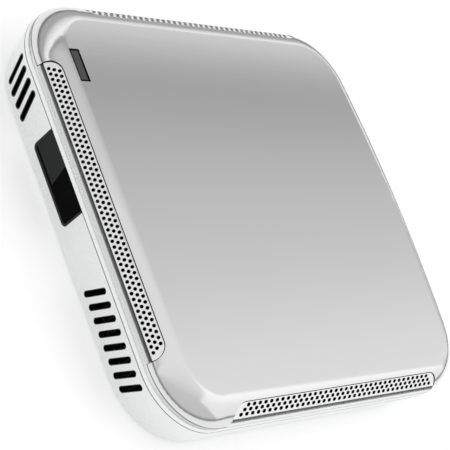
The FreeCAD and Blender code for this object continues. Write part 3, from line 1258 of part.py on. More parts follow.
def spindle_stator():
    top = CHASSIS_Z - SEAT_GAP
    stator = rod_z(0, DISC_Y, STATOR_Z, top, SPINDLE_R)
    return stator.cut(rod_z(0, DISC_Y, STATOR_Z + 0.5, top + TRIM, SHAFT_R + RUN_GAP))


def turntable():
    """Spindle shaft, platter and hub, with three balls that grip the disc's hole."""
    top = DISC_Z - LAID_GAP
    hub_top = top + 1.3
    wheel = fuse([rod_z(0, DISC_Y, top - 1.1, top, PLATTER_R),
                  rod_z(0, DISC_Y, CHASSIS_Z + BODY_GAP, top - 0.5, SPINDLE_R - 1.2),
                  rod_z(0, DISC_Y, top - 0.1, hub_top, HUB_R),
                  Part.makeCone(HUB_R, HUB_R - 1.6, 1.0, V(0, DISC_Y, hub_top)),
                  rod_z(0, DISC_Y, STATOR_Z + 0.7, top, SHAFT_R)])
    grip_r = 0.78 * HUB_R
    grips = []
    for k in range(3):
        a = math.radians(90 + 120 * k)
        x, y = grip_r * math.cos(a), DISC_Y + grip_r * math.sin(a)
        grips.append(rod_z(x, y, hub_top + 0.1, hub_top + 2.7, 0.9))
    return cut(wheel, grips)


def pickup_sled():
    x = PICKUP_IN
    z0, z1 = SLED_Z
    low = box(x - 7.0, x + 8.0, ROD_YS[0] - 2.6, ROD_YS[1] + 2.6, z0, z1)
    block = box(x - 5.5, x + 5.5, DISC_Y - 10.0, DISC_Y + 10.0, z0 + 1.0, 11.0)
    block = block.makeFillet(1.2, [e for e in block.Edges if e.BoundBox.ZLength > 2])
    arm = box(x - 3.0, x + 2.0, LEAD_Y - 1.8, ROD_YS[0], z0, z1 - 1.0)
    tools = [rod_x(x - 20, x + 20, y, ROD_Z, ROD_R + RUN_GAP) for y in ROD_YS]
    tools.append(rod_x(x - 20, x + 20, LEAD_Y, LEAD_Z, LEAD_R + RUN_GAP))
    tools.append(rod_z(x, DISC_Y, CHASSIS_Z - 0.2, DISC_Z, PICKUP_LENS_R + 0.35))
    return cut(fuse([low, block, arm]), tools)


def pickup_lens():
    """Objective lens in its holder, carried by the pickup's coils."""
    bore_r = PICKUP_LENS_R - 0.7
    glass = Part.makeSphere(3.2, V(PICKUP_IN, DISC_Y, 8.2))
    glass = glass.common(rod_z(PICKUP_IN, DISC_Y, 10.2, DISC_Z, bore_r + LAID_GAP))
    return fuse([tube_z(PICKUP_IN, DISC_Y, 9.75, 11.3, PICKUP_LENS_R, bore_r), glass])


def guide_rods():
    return [rod_x(ROD_X[0] + 0.1, ROD_X[1] - 0.1, y, ROD_Z, ROD_R) for y in ROD_YS]


def lead_screw():
    """Screw with a grooved flank, turned by the sled motor."""
    end = MOTOR_TAB_X[1] + 1.2
    core = rod_x(ROD_X[0] + 0.2, end, LEAD_Y, LEAD_Z, LEAD_R)
    start, stop = ROD_X[0] + ROD_TAB_T + 1.0, MOTOR_TAB_X[0] - LEAD_GROOVE_W
    grooves = []
    for i in range(math.ceil((stop - start) / LEAD_PITCH)):
        x = start + i * LEAD_PITCH
        ring = rod_x(x, x + LEAD_GROOVE_W, LEAD_Y, LEAD_Z, LEAD_R + TRIM)
        ring = ring.cut(rod_x(x, x + LEAD_GROOVE_W, LEAD_Y, LEAD_Z, LEAD_R - LEAD_GROOVE_DEPTH))
        ring.rotate(V(x + LEAD_GROOVE_W / 2, LEAD_Y, LEAD_Z), V(0, 0, 1), 12.0)
        grooves.append(ring)
    return cut(core, grooves)


def sled_motor():
    x0 = MOTOR_TAB_X[1] + SEAT_GAP
    can = rod_x(x0, SLED_MOTOR_BACK, LEAD_Y, LEAD_Z, SLED_MOTOR_R)
    return can.cut(rod_x(x0 - TRIM, x0 + 1.4, LEAD_Y, LEAD_Z, LEAD_R + RUN_GAP))


def roller_cradle():
    """Hinged frame that lifts the loading roller to the disc."""
    parts = [rod_x(-ARM_X[0] - 0.3, ARM_X[0] + 0.3, CRADLE_Y, CRADLE_Z, SHAFT_R)]
    for sx in (-1, 1):
        x0, x1 = sorted((sx * ARM_X[0], sx * ARM_X[1]))
        parts += [rod_x(x0, x1, CRADLE_Y, CRADLE_Z, ARM_R), rod_x(x0, x1, ROLLER_Y, ROLLER_Z, ARM_R),
                  box(x0, x1, CRADLE_Y, ROLLER_Y, CRADLE_Z - ARM_HALF_W, CRADLE_Z + ARM_HALF_W)]
    return fuse(parts).cut(rod_x(ARM_X[0] - TRIM, ARM_X[1] + TRIM, ROLLER_Y, ROLLER_Z, SHAFT_R + RUN_GAP))


def load_motor():
    can = rod_x(-ARM_X[0] + SEAT_GAP, MOTOR_END_X, ROLLER_Y, ROLLER_Z, ROLLER_R)
    return can.cut(rod_x(MOTOR_END_X - 2.0, MOTOR_END_X + TRIM, ROLLER_Y, ROLLER_Z, ROLLER_SHAFT_R + RUN_GAP))


def load_roller():
    """Rubber-covered roller, waisted so that only the disc's rim touches it."""
    waist = ROLLER_R - ROLLER_WAIST
    half = -MOTOR_END_X - 1.0
    axis = V(1, 0, 0)
    return fuse([Part.makeCone(ROLLER_R, waist, half, V(-half, ROLLER_Y, ROLLER_Z), axis),
                 Part.makeCone(waist, ROLLER_R, half, V(0, ROLLER_Y, ROLLER_Z), axis),
                 rod_x(MOTOR_END_X - 1.8, -half, ROLLER_Y, ROLLER_Z, ROLLER_SHAFT_R),
                 rod_x(half, ARM_X[1] - 0.1, ROLLER_Y, ROLLER_Z, SHAFT_R)])


# --- sound ----------------------------------------------------------------------------------------

def stadium(cx, cy, half, r, z0, z1):
    """Upright block with round ends, long along Y."""
    return fuse([rod_z(cx, cy - half, z0, z1, r), rod_z(cx, cy + half, z0, z1, r),
                 box(cx - r, cx + r, cy - half, cy + half, z0, z1)])


def speaker(sx):
    """Closed speaker box on the guide plate, with its cone facing up."""
    z0 = PLATE_Z + PLATE_T + SEAT_GAP
    z1 = z0 + SPEAKER_T
    x0, x1 = sorted(sx * x for x in SPEAKER_X)
    y0, y1 = SPEAKER_Y
    case = box(x0, x1, y0, y1, z0, z1)
    case = case.makeFillet(SPEAKER_CORNER_R, [e for e in case.Edges if e.BoundBox.ZLength > SPEAKER_T / 2])
    cx, cy = (x0 + x1) / 2, (y0 + y1) / 2
    mouth = stadium(cx, cy, CONE_HALF, CONE_R, z1 - CONE_DEPTH, z1 + TRIM)
    dome = stadium(cx, cy, DOME_HALF, DOME_R, z1 - DOME_DROP - DOME_T, z1 - DOME_DROP)
    return fuse([case.cut(mouth), dome])


def main():
    os.makedirs("parts", exist_ok=True)
    shell = upper_shell()
    save("lower_housing", lower_housing())
    save("bezel_ring", bezel_ring(shell))
    save("top_cover", top_cover(shell))
    for side, strip in STRIPS:
        save(side + "_grille", place_strip(grille(strip), side))
    save("projection_window", projection_window())
    save("window_gasket", window_gasket())
    save("feet", feet())
    save("housing_screws", housing_screws())
    save("tripod_insert", tripod_insert())
    save("slot_lips", slot_lips())
    save("rocker_key", rocker_key())
    save("key_switch_board", key_switch_board())
    save("power_button", side_button(BUTTON_YS[0]))
    save("eject_button", side_button(BUTTON_YS[1]))
    save("side_switch_board", side_switch_board())
    save("main_board", main_board())
    save("board_screws", board_screws())
    save("board_chips", board_chips())
    for name in PORTS:
        save(name, socket(name))
    save("battery_pack", battery_pack())
    save("light_engine_case", engine_case())
    save("engine_lid", engine_lid())
    save("relay_prism", relay_prism())
    save("condenser_lenses", condenser_lenses())
    save("dichroic_mirrors", dichroic_mirrors())
    save("mirror_chip_board", mirror_chip_board())
    save("led_modules", led_modules())
    save("lens_sleeve", lens_sleeve())
    save("lens_cell", lens_cell())
    save("front_lens", front_lens())
    save("rear_lens", rear_lens())
    save("focus_ring", focus_ring())
    save("focus_pinion", focus_pinion())
    save("focus_motor", focus_motor())
    save("left_heat_sink", left_heat_sink())
    save("right_heat_sink", right_heat_sink())
    save("led_spreader", led_spreader())
    save("heat_pipe", heat_pipe())
    save("blower_case", blower_case())
    save("blower_rotor", blower_rotor())
    save("drive_chassis", drive_chassis())
    save("chassis_grommets", chassis_grommets())
    save("drive_screws", drive_screws())
    save("disc_guide_plate", disc_guide_plate())
    save("spindle_stator", spindle_stator())
    save("turntable", turntable())
    save("pickup_sled", pickup_sled())
    save("pickup_lens", pickup_lens())
    save("guide_rods", guide_rods())
    save("lead_screw", lead_screw())
    save("sled_motor", sled_motor())
    save("roller_cradle", roller_cradle())
    save("load_motor", load_motor())
    save("load_roller", load_roller())
    save("speakers", [speaker(-1), speaker(1)])


main()
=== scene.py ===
"""Finish of a pocket projector with a slot-loading disc drive: casing, optics, cooling, boards and drive."""

import math

import bpy
from bpy.props import FloatProperty, FloatVectorProperty, PointerProperty
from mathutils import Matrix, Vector


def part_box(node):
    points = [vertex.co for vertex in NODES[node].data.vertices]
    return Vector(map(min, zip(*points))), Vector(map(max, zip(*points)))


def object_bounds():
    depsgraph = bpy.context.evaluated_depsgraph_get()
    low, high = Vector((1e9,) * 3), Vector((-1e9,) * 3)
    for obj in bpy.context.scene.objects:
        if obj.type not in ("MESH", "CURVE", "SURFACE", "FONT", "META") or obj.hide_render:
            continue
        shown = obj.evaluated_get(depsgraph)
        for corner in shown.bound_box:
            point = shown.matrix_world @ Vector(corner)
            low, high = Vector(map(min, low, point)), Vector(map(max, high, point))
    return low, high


bl_info = {
    "name": "Pocket projector finish",
    "version": (1, 0, 0),
    "blender": (4, 5, 0),
    "location": "3D View > Sidebar > Projector",
    "description": "Dresses a pocket projector with a disc drive and lights it in a pale studio",
    "category": "Object",
}

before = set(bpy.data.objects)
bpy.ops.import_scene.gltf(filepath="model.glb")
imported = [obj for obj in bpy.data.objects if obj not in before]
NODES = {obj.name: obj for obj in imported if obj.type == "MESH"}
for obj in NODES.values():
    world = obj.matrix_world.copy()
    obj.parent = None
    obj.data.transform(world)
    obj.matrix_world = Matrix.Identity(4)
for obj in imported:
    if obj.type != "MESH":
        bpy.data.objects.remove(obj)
CAD_BOX = [list(corner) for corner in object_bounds()]
MM = 0.001

# --- housing's front wall, in metres
FRONT_WALL_DEPTH = 6.5 * MM            # from the front of the part to behind its front wall
CUT_HEIGHTS = (2.5 * MM, 14.3 * MM)    # the vent slots and the window's opening lie between
SIDEWAYS = 0.4                         # a face with less than this of its normal along Y looks sideways
UPWARDS = 0.7                          # a face with more than this of its normal along Z looks up

# --- vent slots in it, in millimetres and degrees; rim is how far the painted shade reaches past the cut edge
SLOT_WIDTH = 1.75
LEFT_SLOTS = {"count": 4, "first_x": -54.8, "middle_z": 8.7, "pitch": 4.42, "length": 11.0, "lean": 21.9,
              "rim": 0.42}
RIGHT_SLOTS = {"count": 8, "first_x": 22.2, "middle_z": 8.6, "pitch": 4.45, "length": 10.4, "lean": -18.2,
               "rim": 0.2}

# --- window's painted reflection, in metres
REFLECTION_END_X = -13.7 * MM                # where the window's dark grey end, a painted reflection, stops, at the height of the table
REFLECTION_EDGE_LEAN = -0.21                  # how far that edge moves along X for each unit up
REFLECTION_FOOT = 0.9 * MM               # height of the black band below it

# --- bezel ring, in metres
BEZEL_ROLL_START = 16.4 * MM           # height where the ring starts to roll inwards
BEZEL_ROLL_RADIUS = 3.0 * MM
VALLEY_FOOT = 18.9 * MM                # the valley along the front strip lies above this height
VALLEY_DEPTH = 3.0 * MM                # and this far in from the front
VALLEY_EXTRA_ROUGHNESS = 0.26

# --- perforated strips, in millimetres and degrees; each row is one hole shorter than the row below, and rim
# is how far the painted shade reaches past the cut edge
FRONT_STRIP = {"wall": -CAD_BOX[0][1] / MM, "inset": 0.80, "foot_z": 20.85, "slope": 47.5, "first_row": 1.05,
               "pitch": 1.90, "longest": 51, "length": 0.96, "width": 0.96, "rim": 0.11}
SIDE_STRIP = {"wall": CAD_BOX[1][0] / MM, "inset": 1.25, "foot_z": 21.75, "slope": 40.5, "first_row": 1.25,
              "pitch": 2.83, "longest": 38, "length": 1.50, "width": 1.00, "rim": 0.12}
STRIP_ROWS = 3
STRIP_ROW_PITCH = 1.47
LAND_FACING = 0.8                      # cosine: a strip's face turned further off its slope is a hole's wall

KEY_FACE_DEPTH = 3.8 * MM              # of the rocker key, without its pins

# --- patterns
PATTERN_RANGE = (0.3, 0.7)             # what a cloudy pattern mostly keeps between
METAL_WANDER = (0.8, 1.25)             # how far a metal's roughness wanders, as shares of its middle value

# --- shares of metal flakes and clear coat in the silver lacquer
HOUSING_FLAKES = 0.85
RING_FLAKES = 0.9
STRIP_FLAKES = 0.55
BUTTON_FLAKES = 0.55
CLEAR_COAT = 0.25

# --- studio
FLOOR_HALF = 6.0                       # metres from the part to the floor's edges
FLOOR_GLOW = 0.30
LAMP_PLACE = (0.50, 0.65, 0.56)        # in metres, as is its side
LAMP_SIDE = 1.0
# how bright the sky of soft panels is, against how far it lies to +X for each unit up
PANELS = ((-1.80, 0.60), (-1.05, 1.25), (-0.77, 1.60), (-0.73, 0.20), (-0.67, 0.36), (-0.60, 0.66),
          (-0.50, 0.82), (-0.40, 0.90), (-0.30, 1.15), (-0.20, 1.20), (0.20, 1.08), (0.60, 0.90),
          (1.30, 0.85))
HORIZON = (0.03, 0.20)                 # heights between which the dark room gives way to the panels
ROOM_LEVEL = 0.30                      # brightness of the dark room, as a share of the panels'
LEAST_RISE = 0.02                      # keeps the sky's slant finite at the horizon
SENSOR_WIDTH = 36.0                    # of the camera, in millimetres

# --- metals: colour, roughness, pattern's period in millimetres and how far it is drawn out along each axis
METALS = {
    # clear-passivated zinc on steel fasteners: a cool even grey
    "steel_zinc_plated": ("A5A7A8", 0.3, 0.6, (1, 1, 1)),
    # the same on rolled sheet: pale grey, with long faint streaks along the rolling direction
    "steel_zinc_plated_sheet": ("ABAEB0", 0.35, 2.5, (8, 1, 1)),
    # brass off the lathe: warm yellow with faint rings round its upright axis
    "brass_turned": ("C9A552", 0.25, 0.3, (1, 1, 0.3)),
    # bright nickel on a folded shell: light grey with soft reflections
    "steel_nickel_plated": ("C8C9C8", 0.22, 2.0, (1, 1, 1)),
    # pressure die casting: mid grey, dull and cloudy
    "aluminium_die_cast": ("8F9193", 0.5, 1.2, (1, 1, 1)),
    # cold-rolled lid: grey with fine streaks along its length
    "steel_cold_rolled_lid": ("9FA1A2", 0.35, 1.0, (10, 1, 1)),
    # drawn motor can: bright, with faint streaks from front to back
    "steel_motor_can": ("B4B5B6", 0.25, 1.0, (1, 6, 1)),
    # drawn copper: warm red-brown with faint streaks from front to back
    "copper_drawn": ("B87952", 0.3, 1.5, (1, 6, 1)),
    # copper painted nearly black as shade, so what shows through the holes stays dark; with the same streaks
    "copper_painted_shade": ("1C1816", 0.5, 1.5, (1, 6, 1)),
    # stack of silicon-steel laminations: dull grey in thin layers
    "steel_silicon_lamination": ("7F8183", 0.4, 0.5, (1, 1, 0.2)),
    # centreless-ground rod: the brightest steel here, streaked along its length
    "steel_ground_rod": ("D0D1D2", 0.15, 0.5, (10, 1, 1)),
}

# --- plastics: colour, roughness and the texture's period in millimetres
PLASTICS = {
    # glass-filled nylon: black with a soft shine
    "nylon_black_moulded": ("1A1A1B", 0.5, 0.4),
    # undyed nylon: ivory and slightly waxy
    "nylon_natural": ("D9D6C8", 0.4, 0.4),
    # polycarbonate from a blasted tool: black, matt enough to keep stray light down
    "polycarbonate_black_matt": ("121213", 0.6, 0.4),
    # polycarbonate from a smoother tool: charcoal with a soft shine
    "polycarbonate_turntable": ("2C2D2E", 0.4, 0.4),
    # glass-filled PBT: black and dull
    "pbt_black_case": ("0A0A0A", 0.6, 0.4),
    # the same on thin blades: a little paler and smoother
    "pbt_black_wheel": ("232425", 0.4, 0.4),
    # transfer-moulded epoxy: dark grey with a fine grit
    "epoxy_chip_package": ("1D1E20", 0.55, 0.2),
    # PET film shrunk round the cells: blue-black, shiny, with slow wrinkles
    "pet_shrink_wrap": ("2B2F3A", 0.3, 3.0),
    # ABS from a spark-eroded tool: charcoal and matt
    "abs_speaker_box": ("202123", 0.5, 0.4),
}


# --- colours and nodes -----------------------------------------------------------------------------

def linear(hex_colour):
    """An sRGB hex colour, such as B9BABA, as linear red, green and blue."""
    channels = [int(hex_colour[i:i + 2], 16) / 255 for i in (0, 2, 4)]
    return [c / 12.92 if c <= 0.04045 else ((c + 0.055) / 1.055) ** 2.4 for c in channels]


def feed(socket, value):
    """Sets a socket to a plain value, or links it to another socket or to a node's first working output."""
    if isinstance(value, bpy.types.Node):
        value = next(out for out in value.outputs if out.enabled)
    if isinstance(value, bpy.types.NodeSocket):
        socket.id_data.links.new(value, socket)
    else:
        socket.default_value = value


def add_node(tree, kind, inputs=(), **settings):
    """Adds a node, sets its settings, and feeds its inputs, which are given by name or in order."""
    new = tree.nodes.new("ShaderNode" + kind)
    for name, value in settings.items():
        setattr(new, name, value)
    by_socket = inputs if isinstance(inputs, dict) else dict(enumerate(inputs))
    for socket, value in by_socket.items():
        feed(new.inputs[socket], value)
    return new


def new_material(name, colour, metallic, roughness, **sockets):
    """A material with one Principled shader; returns the material, its tree and the shader."""
    material = bpy.data.materials.new(name)
    material.use_nodes = True
    material.diffuse_color = [*colour, 1.0]
    tree = material.node_tree
    shader = tree.nodes["Principled BSDF"]
    shader.inputs["Base Color"].default_value = [*colour, 1.0]
    shader.inputs["Metallic"].default_value = metallic
    shader.inputs["Roughness"].default_value = roughness
    for socket, value in sockets.items():
        shader.inputs[socket.replace("_", " ")].default_value = value
    return material, tree, shader


def mottle(tree, period_mm, stretch=(1, 1, 1), detail=2.0):
    """Cloudy pattern whose blobs repeat about every period_mm, drawn out along stretch."""
    scale = [1 / (period_mm * MM * s) for s in stretch]
    place = add_node(tree, "TexCoord").outputs["Object"]
    point = add_node(tree, "Mapping", {"Vector": place, "Scale": scale})
    return add_node(tree, "TexNoise", {"Vector": point, "Scale": 1.0, "Detail": detail})


def tone(tree, shader, pattern, colour, spread):
    """Colour that swings lighter and darker by spread with the pattern."""
    low = [c * (1 - spread) for c in colour] + [1.0]
    high = [min(1.0, c * (1 + spread)) for c in colour] + [1.0]
    feed(shader.inputs["Base Color"],
         add_node(tree, "Mix", {"Factor": pattern, "A": low, "B": high}, data_type="RGBA"))


def over_colour(tree, shader, mask, colour):
    """Lays a flat colour over what the shader's colour already is, where the mask is 1."""
    under = shader.inputs["Base Color"].links[0].from_socket
    feed(shader.inputs["Base Color"],
         add_node(tree, "Mix", {"Factor": mask, "A": under, "B": [*colour, 1.0]}, data_type="RGBA"))


def vary_roughness(tree, shader, pattern, low, high):
    """Roughness that runs from low to high with the pattern."""
    feed(shader.inputs["Roughness"],
         add_node(tree, "MapRange", {"Value": pattern, "From Min": PATTERN_RANGE[0],
                                     "From Max": PATTERN_RANGE[1], "To Min": low, "To Max": high}))


def grain(tree, shader, pattern, depth_mm):
    """Relief that follows the pattern."""
    feed(shader.inputs["Normal"],
         add_node(tree, "Bump", {"Height": pattern, "Distance": depth_mm * MM, "Strength": 1.0}))


def nearest(tree, distance, step, last):
    """Number of the nearest thing in a row whose things are a step apart, from 0 to last."""
    number = add_node(tree, "Math", (add_node(tree, "Math", (distance, step), operation="DIVIDE"),),
                      operation="ROUND")
    return add_node(tree, "Clamp", (number, 0.0, last))


def round_ended(tree, across, along, half_length, radius):
    """1 within radius of a straight line that runs half_length each way from its middle, else 0."""
    past_end = add_node(tree, "Math", (add_node(tree, "Math", (along,), operation="ABSOLUTE"), half_length),
                        operation="SUBTRACT")
    past_end = add_node(tree, "Math", (past_end, 0.0), operation="MAXIMUM")
    reach = add_node(tree, "CombineXYZ", (across, past_end))
    away = add_node(tree, "VectorMath", (reach,), operation="LENGTH")
    return add_node(tree, "Math", (away, radius), operation="LESS_THAN")


def dress(names, material):
    """Gives CAD nodes one material."""
    for name in names:
        mesh = NODES[name].data
        mesh.materials.clear()
        mesh.materials.append(material)


# --- settings ----------------------------------------------------------------------------------------

class FinishSettings(bpy.types.PropertyGroup):
    """Colours, roughnesses and fine sizes of the outside"""
    cover_colour: FloatVectorProperty(name="Cover", description="Colour of the brushed cover", size=3,
                                      default=linear("DCDCDC"), min=0.0, max=1.0, subtype="COLOR")
    housing_colour: FloatVectorProperty(name="Housing", description="Colour of the housing's lacquer", size=3,
                                        default=linear("EEEFEF"), min=0.0, max=1.0, subtype="COLOR")
    ring_colour: FloatVectorProperty(name="Bezel ring", description="Colour of the ring's lacquer", size=3,
                                     default=linear("ECEDED"), min=0.0, max=1.0, subtype="COLOR")
    strip_colour: FloatVectorProperty(name="Strips", description="Colour of the perforated strips", size=3,
                                      default=linear("F8F8F8"), min=0.0, max=1.0, subtype="COLOR")
    button_colour: FloatVectorProperty(name="Buttons", description="Colour of the two side buttons", size=3,
                                       default=linear("C4C5C6"), min=0.0, max=1.0, subtype="COLOR")
    key_colour: FloatVectorProperty(name="Key", description="Colour of the rocker key's face", size=3,
                                    default=linear("4E4F4F"), min=0.0, max=1.0, subtype="COLOR")
    cover_roughness: FloatProperty(name="Cover roughness", description="Roughness of the brushed cover",
                                   default=0.14, min=0.0, max=1.0, subtype="FACTOR")
    paint_roughness: FloatProperty(name="Paint roughness", description="Roughness of the silver lacquer",
                                   default=0.26, min=0.0, max=1.0, subtype="FACTOR")
    brush_pitch: FloatProperty(name="Brush pitch", description="Distance between the cover's brush lines",
                               default=0.35 * MM, min=0.05 * MM, max=2.0 * MM, precision=5, unit="LENGTH")
    # width of the black rim painted round the key's face as the shade of the gap round it
    key_gap_shade: FloatProperty(name="Key rim", description="Width of the rocker key's black rim",
                           default=0.45 * MM, min=0.0, max=1.5 * MM, precision=5, unit="LENGTH")


class StudioSettings(bpy.types.PropertyGroup):
    """Camera and light"""
    camera_place: FloatVectorProperty(name="Camera place", description="Where the camera stands", size=3,
                                      default=(0.14870, -0.43023, 0.32331), subtype="XYZ", unit="LENGTH")
    camera_turn: FloatVectorProperty(name="Camera turn", description="Camera rotation", size=3,
                                     default=[math.radians(turn) for turn in (37.573, -43.589, 61.103)],
                                     subtype="EULER")
    focal_length: FloatProperty(name="Focal length", description="Lens of the camera",
                                default=129.68, min=10.0, max=500.0, unit="CAMERA")
    world_strength: FloatProperty(name="World strength", description="Level of the soft light all round",
                                  default=0.85, min=0.0, max=3.0, subtype="FACTOR")
    key_power: FloatProperty(name="Key light", description="Power of the soft box",
                             default=1.1, min=0.0, max=100.0, unit="POWER")


def finish():
    """The outside's settings."""
    return bpy.context.scene.projector_finish


# --- materials of the casing ---------------------------------------------------------------------------

def brushed_aluminium():
    """Anodised sheet, brushed along Y: bright and satin, with faint long lines."""
    s = finish()
    material, tree, shader = new_material("anodised_aluminium_brushed", s.cover_colour, 1.0,
                                          s.cover_roughness, Anisotropic=0.3)
    # brush lines are about 0.1 mm apart on the real sheet, too fine to show, so they are drawn wider
    lines = mottle(tree, s.brush_pitch / MM, stretch=(1, 80, 1), detail=3.0)
    tone(tree, shader, lines, s.cover_colour, 0.015)
    vary_roughness(tree, shader, lines, s.cover_roughness - 0.004, s.cover_roughness + 0.006)
    feed(shader.inputs["Tangent"], add_node(tree, "CombineXYZ", {"X": 1.0}))
    return material


def silver_lacquer(name, colour, flake_share):
    """Satin lacquer full of fine aluminium flakes: bright, with a soft sheen and faint sparkle."""
    s = finish()
    material, tree, shader = new_material(name, colour, flake_share, s.paint_roughness,
                                          Coat_Weight=CLEAR_COAT, Coat_Roughness=0.12)
    # the flakes are about 0.03 mm across, too fine to show, so they are drawn larger
    flakes = mottle(tree, 0.25, detail=1.0)
    tone(tree, shader, flakes, colour, 0.02)
    vary_roughness(tree, shader, flakes, s.paint_roughness, s.paint_roughness + 0.02)
    return material, tree, shader


def slots_and_shade_rims(tree, point, slots):
    """1 on a row of leaning slots and on a narrow rim of painted shade round each, else 0."""
    lean = -math.radians(slots["lean"])
    first = (slots["first_x"] * MM, 0.0, slots["middle_z"] * MM)
    from_first = add_node(tree, "VectorMath", (point, first), operation="SUBTRACT")
    across = add_node(tree, "VectorMath", (from_first, (math.cos(lean), 0.0, -math.sin(lean))),
                      operation="DOT_PRODUCT")
    along = add_node(tree, "VectorMath", (from_first, (math.sin(lean), 0.0, math.cos(lean))),
                     operation="DOT_PRODUCT")
    step_across = slots["pitch"] * MM * math.cos(lean)
    step_along = slots["pitch"] * MM * math.sin(lean)
    number = nearest(tree, across, step_across, slots["count"] - 1.0)
    across = add_node(tree, "Math", (number, -step_across, across), operation="MULTIPLY_ADD")
    along = add_node(tree, "Math", (number, -step_along, along), operation="MULTIPLY_ADD")
    return round_ended(tree, across, along, (slots["length"] - SLOT_WIDTH) / 2 * MM,
                       (SLOT_WIDTH / 2 + slots["rim"]) * MM)


def housing_lacquer():
    """Silver lacquer, with bare black plastic in the slots, in the window's opening and on every face that
    looks up, whose black also stands in as painted shade there; the narrow black rim round each slot is
    painted shade."""
    material, tree, shader = silver_lacquer("abs_silver_lacquered", finish().housing_colour, HOUSING_FLAKES)
    point = add_node(tree, "TexCoord").outputs["Object"]
    place = add_node(tree, "SeparateXYZ", (point,)).outputs
    facing = add_node(tree, "SeparateXYZ", (add_node(tree, "TexCoord").outputs["Normal"],)).outputs
    forwards = add_node(tree, "Math", (facing["Y"],), operation="ABSOLUTE")
    sideways = add_node(tree, "Math", (forwards, SIDEWAYS), operation="LESS_THAN")
    above = add_node(tree, "Math", (place["Z"], CUT_HEIGHTS[0]), operation="GREATER_THAN")
    below = add_node(tree, "Math", (place["Z"], CUT_HEIGHTS[1]), operation="LESS_THAN")
    cut_faces = add_node(tree, "Math", (above, below), operation="MULTIPLY")
    cut_faces = add_node(tree, "Math", (cut_faces, sideways), operation="MULTIPLY")
    rims = add_node(tree, "Math", (slots_and_shade_rims(tree, point, LEFT_SLOTS),
                                   slots_and_shade_rims(tree, point, RIGHT_SLOTS)), operation="MAXIMUM")
    openings = add_node(tree, "Math", (cut_faces, rims), operation="MAXIMUM")
    in_front = add_node(tree, "Math", (place["Y"], CAD_BOX[0][1] + FRONT_WALL_DEPTH), operation="LESS_THAN")
    openings = add_node(tree, "Math", (openings, in_front), operation="MULTIPLY")
    upwards = add_node(tree, "Math", (facing["Z"], UPWARDS), operation="GREATER_THAN")
    # black as bare plastic that also stands in as painted shade in the slots, opening and upward faces; the
    # slot rims are painted shade
    bare_and_shade = add_node(tree, "Math", (openings, upwards), operation="MAXIMUM")
    over_colour(tree, shader, bare_and_shade, linear("0A0A0A"))
    lacquered = add_node(tree, "Math", (1.0, bare_and_shade), operation="SUBTRACT")
    feed(shader.inputs["Metallic"],
         add_node(tree, "Math", (lacquered, HOUSING_FLAKES), operation="MULTIPLY"))
    feed(shader.inputs["Coat Weight"],
         add_node(tree, "Math", (lacquered, CLEAR_COAT), operation="MULTIPLY"))
    return material


def ring_lacquer():
    """Silver lacquer: its upper edge looks rolled inwards, and the valley along the front strip is duller."""
    material, tree, shader = silver_lacquer("abs_silver_bezel", finish().ring_colour, RING_FLAKES)
    place = add_node(tree, "SeparateXYZ", (add_node(tree, "TexCoord").outputs["Object"],)).outputs
    rise = add_node(tree, "Math", (place["Z"], BEZEL_ROLL_START), operation="SUBTRACT")
    rise = add_node(tree, "Math", (rise, 0.0), operation="MAXIMUM")
    sink = add_node(tree, "Math", (add_node(tree, "Math", (rise, rise), operation="MULTIPLY"),
                                   -0.5 / BEZEL_ROLL_RADIUS), operation="MULTIPLY")
    feed(shader.inputs["Normal"],
         add_node(tree, "Bump", {"Height": sink, "Distance": 1.0, "Strength": 1.0}))
    high = add_node(tree, "Math", (place["Z"], VALLEY_FOOT), operation="GREATER_THAN")
    in_front = add_node(tree, "Math", (place["Y"], CAD_BOX[0][1] + VALLEY_DEPTH), operation="LESS_THAN")
    valley = add_node(tree, "Math", (high, in_front), operation="MULTIPLY")
    elsewhere = shader.inputs["Roughness"].links[0].from_socket
    feed(shader.inputs["Roughness"],
         add_node(tree, "Math", (valley, VALLEY_EXTRA_ROUGHNESS, elsewhere), operation="MULTIPLY_ADD"))
    return material


def holes_and_shade_rims(tree, strip, side):
    """1 on a strip's holes and on a narrow rim of painted shade round each, else 0; side points out of the
    part.
    """
    slope = math.radians(strip["slope"])
    outwards = Vector((*side, 0.0))
    uphill_way = Vector((0.0, 0.0, math.sin(slope))) - outwards * math.cos(slope)
    first_row = (outwards * (strip["wall"] - strip["inset"]) + Vector((0.0, 0.0, strip["foot_z"]))
                 + uphill_way * strip["first_row"]) * MM
    point = add_node(tree, "TexCoord").outputs["Object"]
    uphill = add_node(tree, "VectorMath", (point, first_row), operation="SUBTRACT")
    uphill = add_node(tree, "VectorMath", (uphill, uphill_way), operation="DOT_PRODUCT")
    along = add_node(tree, "VectorMath", (point, (abs(side[1]), abs(side[0]), 0.0)), operation="DOT_PRODUCT")
    row = nearest(tree, uphill, STRIP_ROW_PITCH * MM, STRIP_ROWS - 1.0)
    uphill = add_node(tree, "Math", (row, -STRIP_ROW_PITCH * MM, uphill), operation="MULTIPLY_ADD")
    last_hole = add_node(tree, "Math", (strip["longest"] - 1.0, row), operation="SUBTRACT")
    along = add_node(tree, "Math", (last_hole, strip["pitch"] / 2 * MM, along), operation="MULTIPLY_ADD")
    hole = nearest(tree, along, strip["pitch"] * MM, last_hole)
    along = add_node(tree, "Math", (hole, -strip["pitch"] * MM, along), operation="MULTIPLY_ADD")
    return round_ended(tree, uphill, along, (strip["length"] - strip["width"]) / 2 * MM,
                       (strip["width"] / 2 + strip["rim"]) * MM)


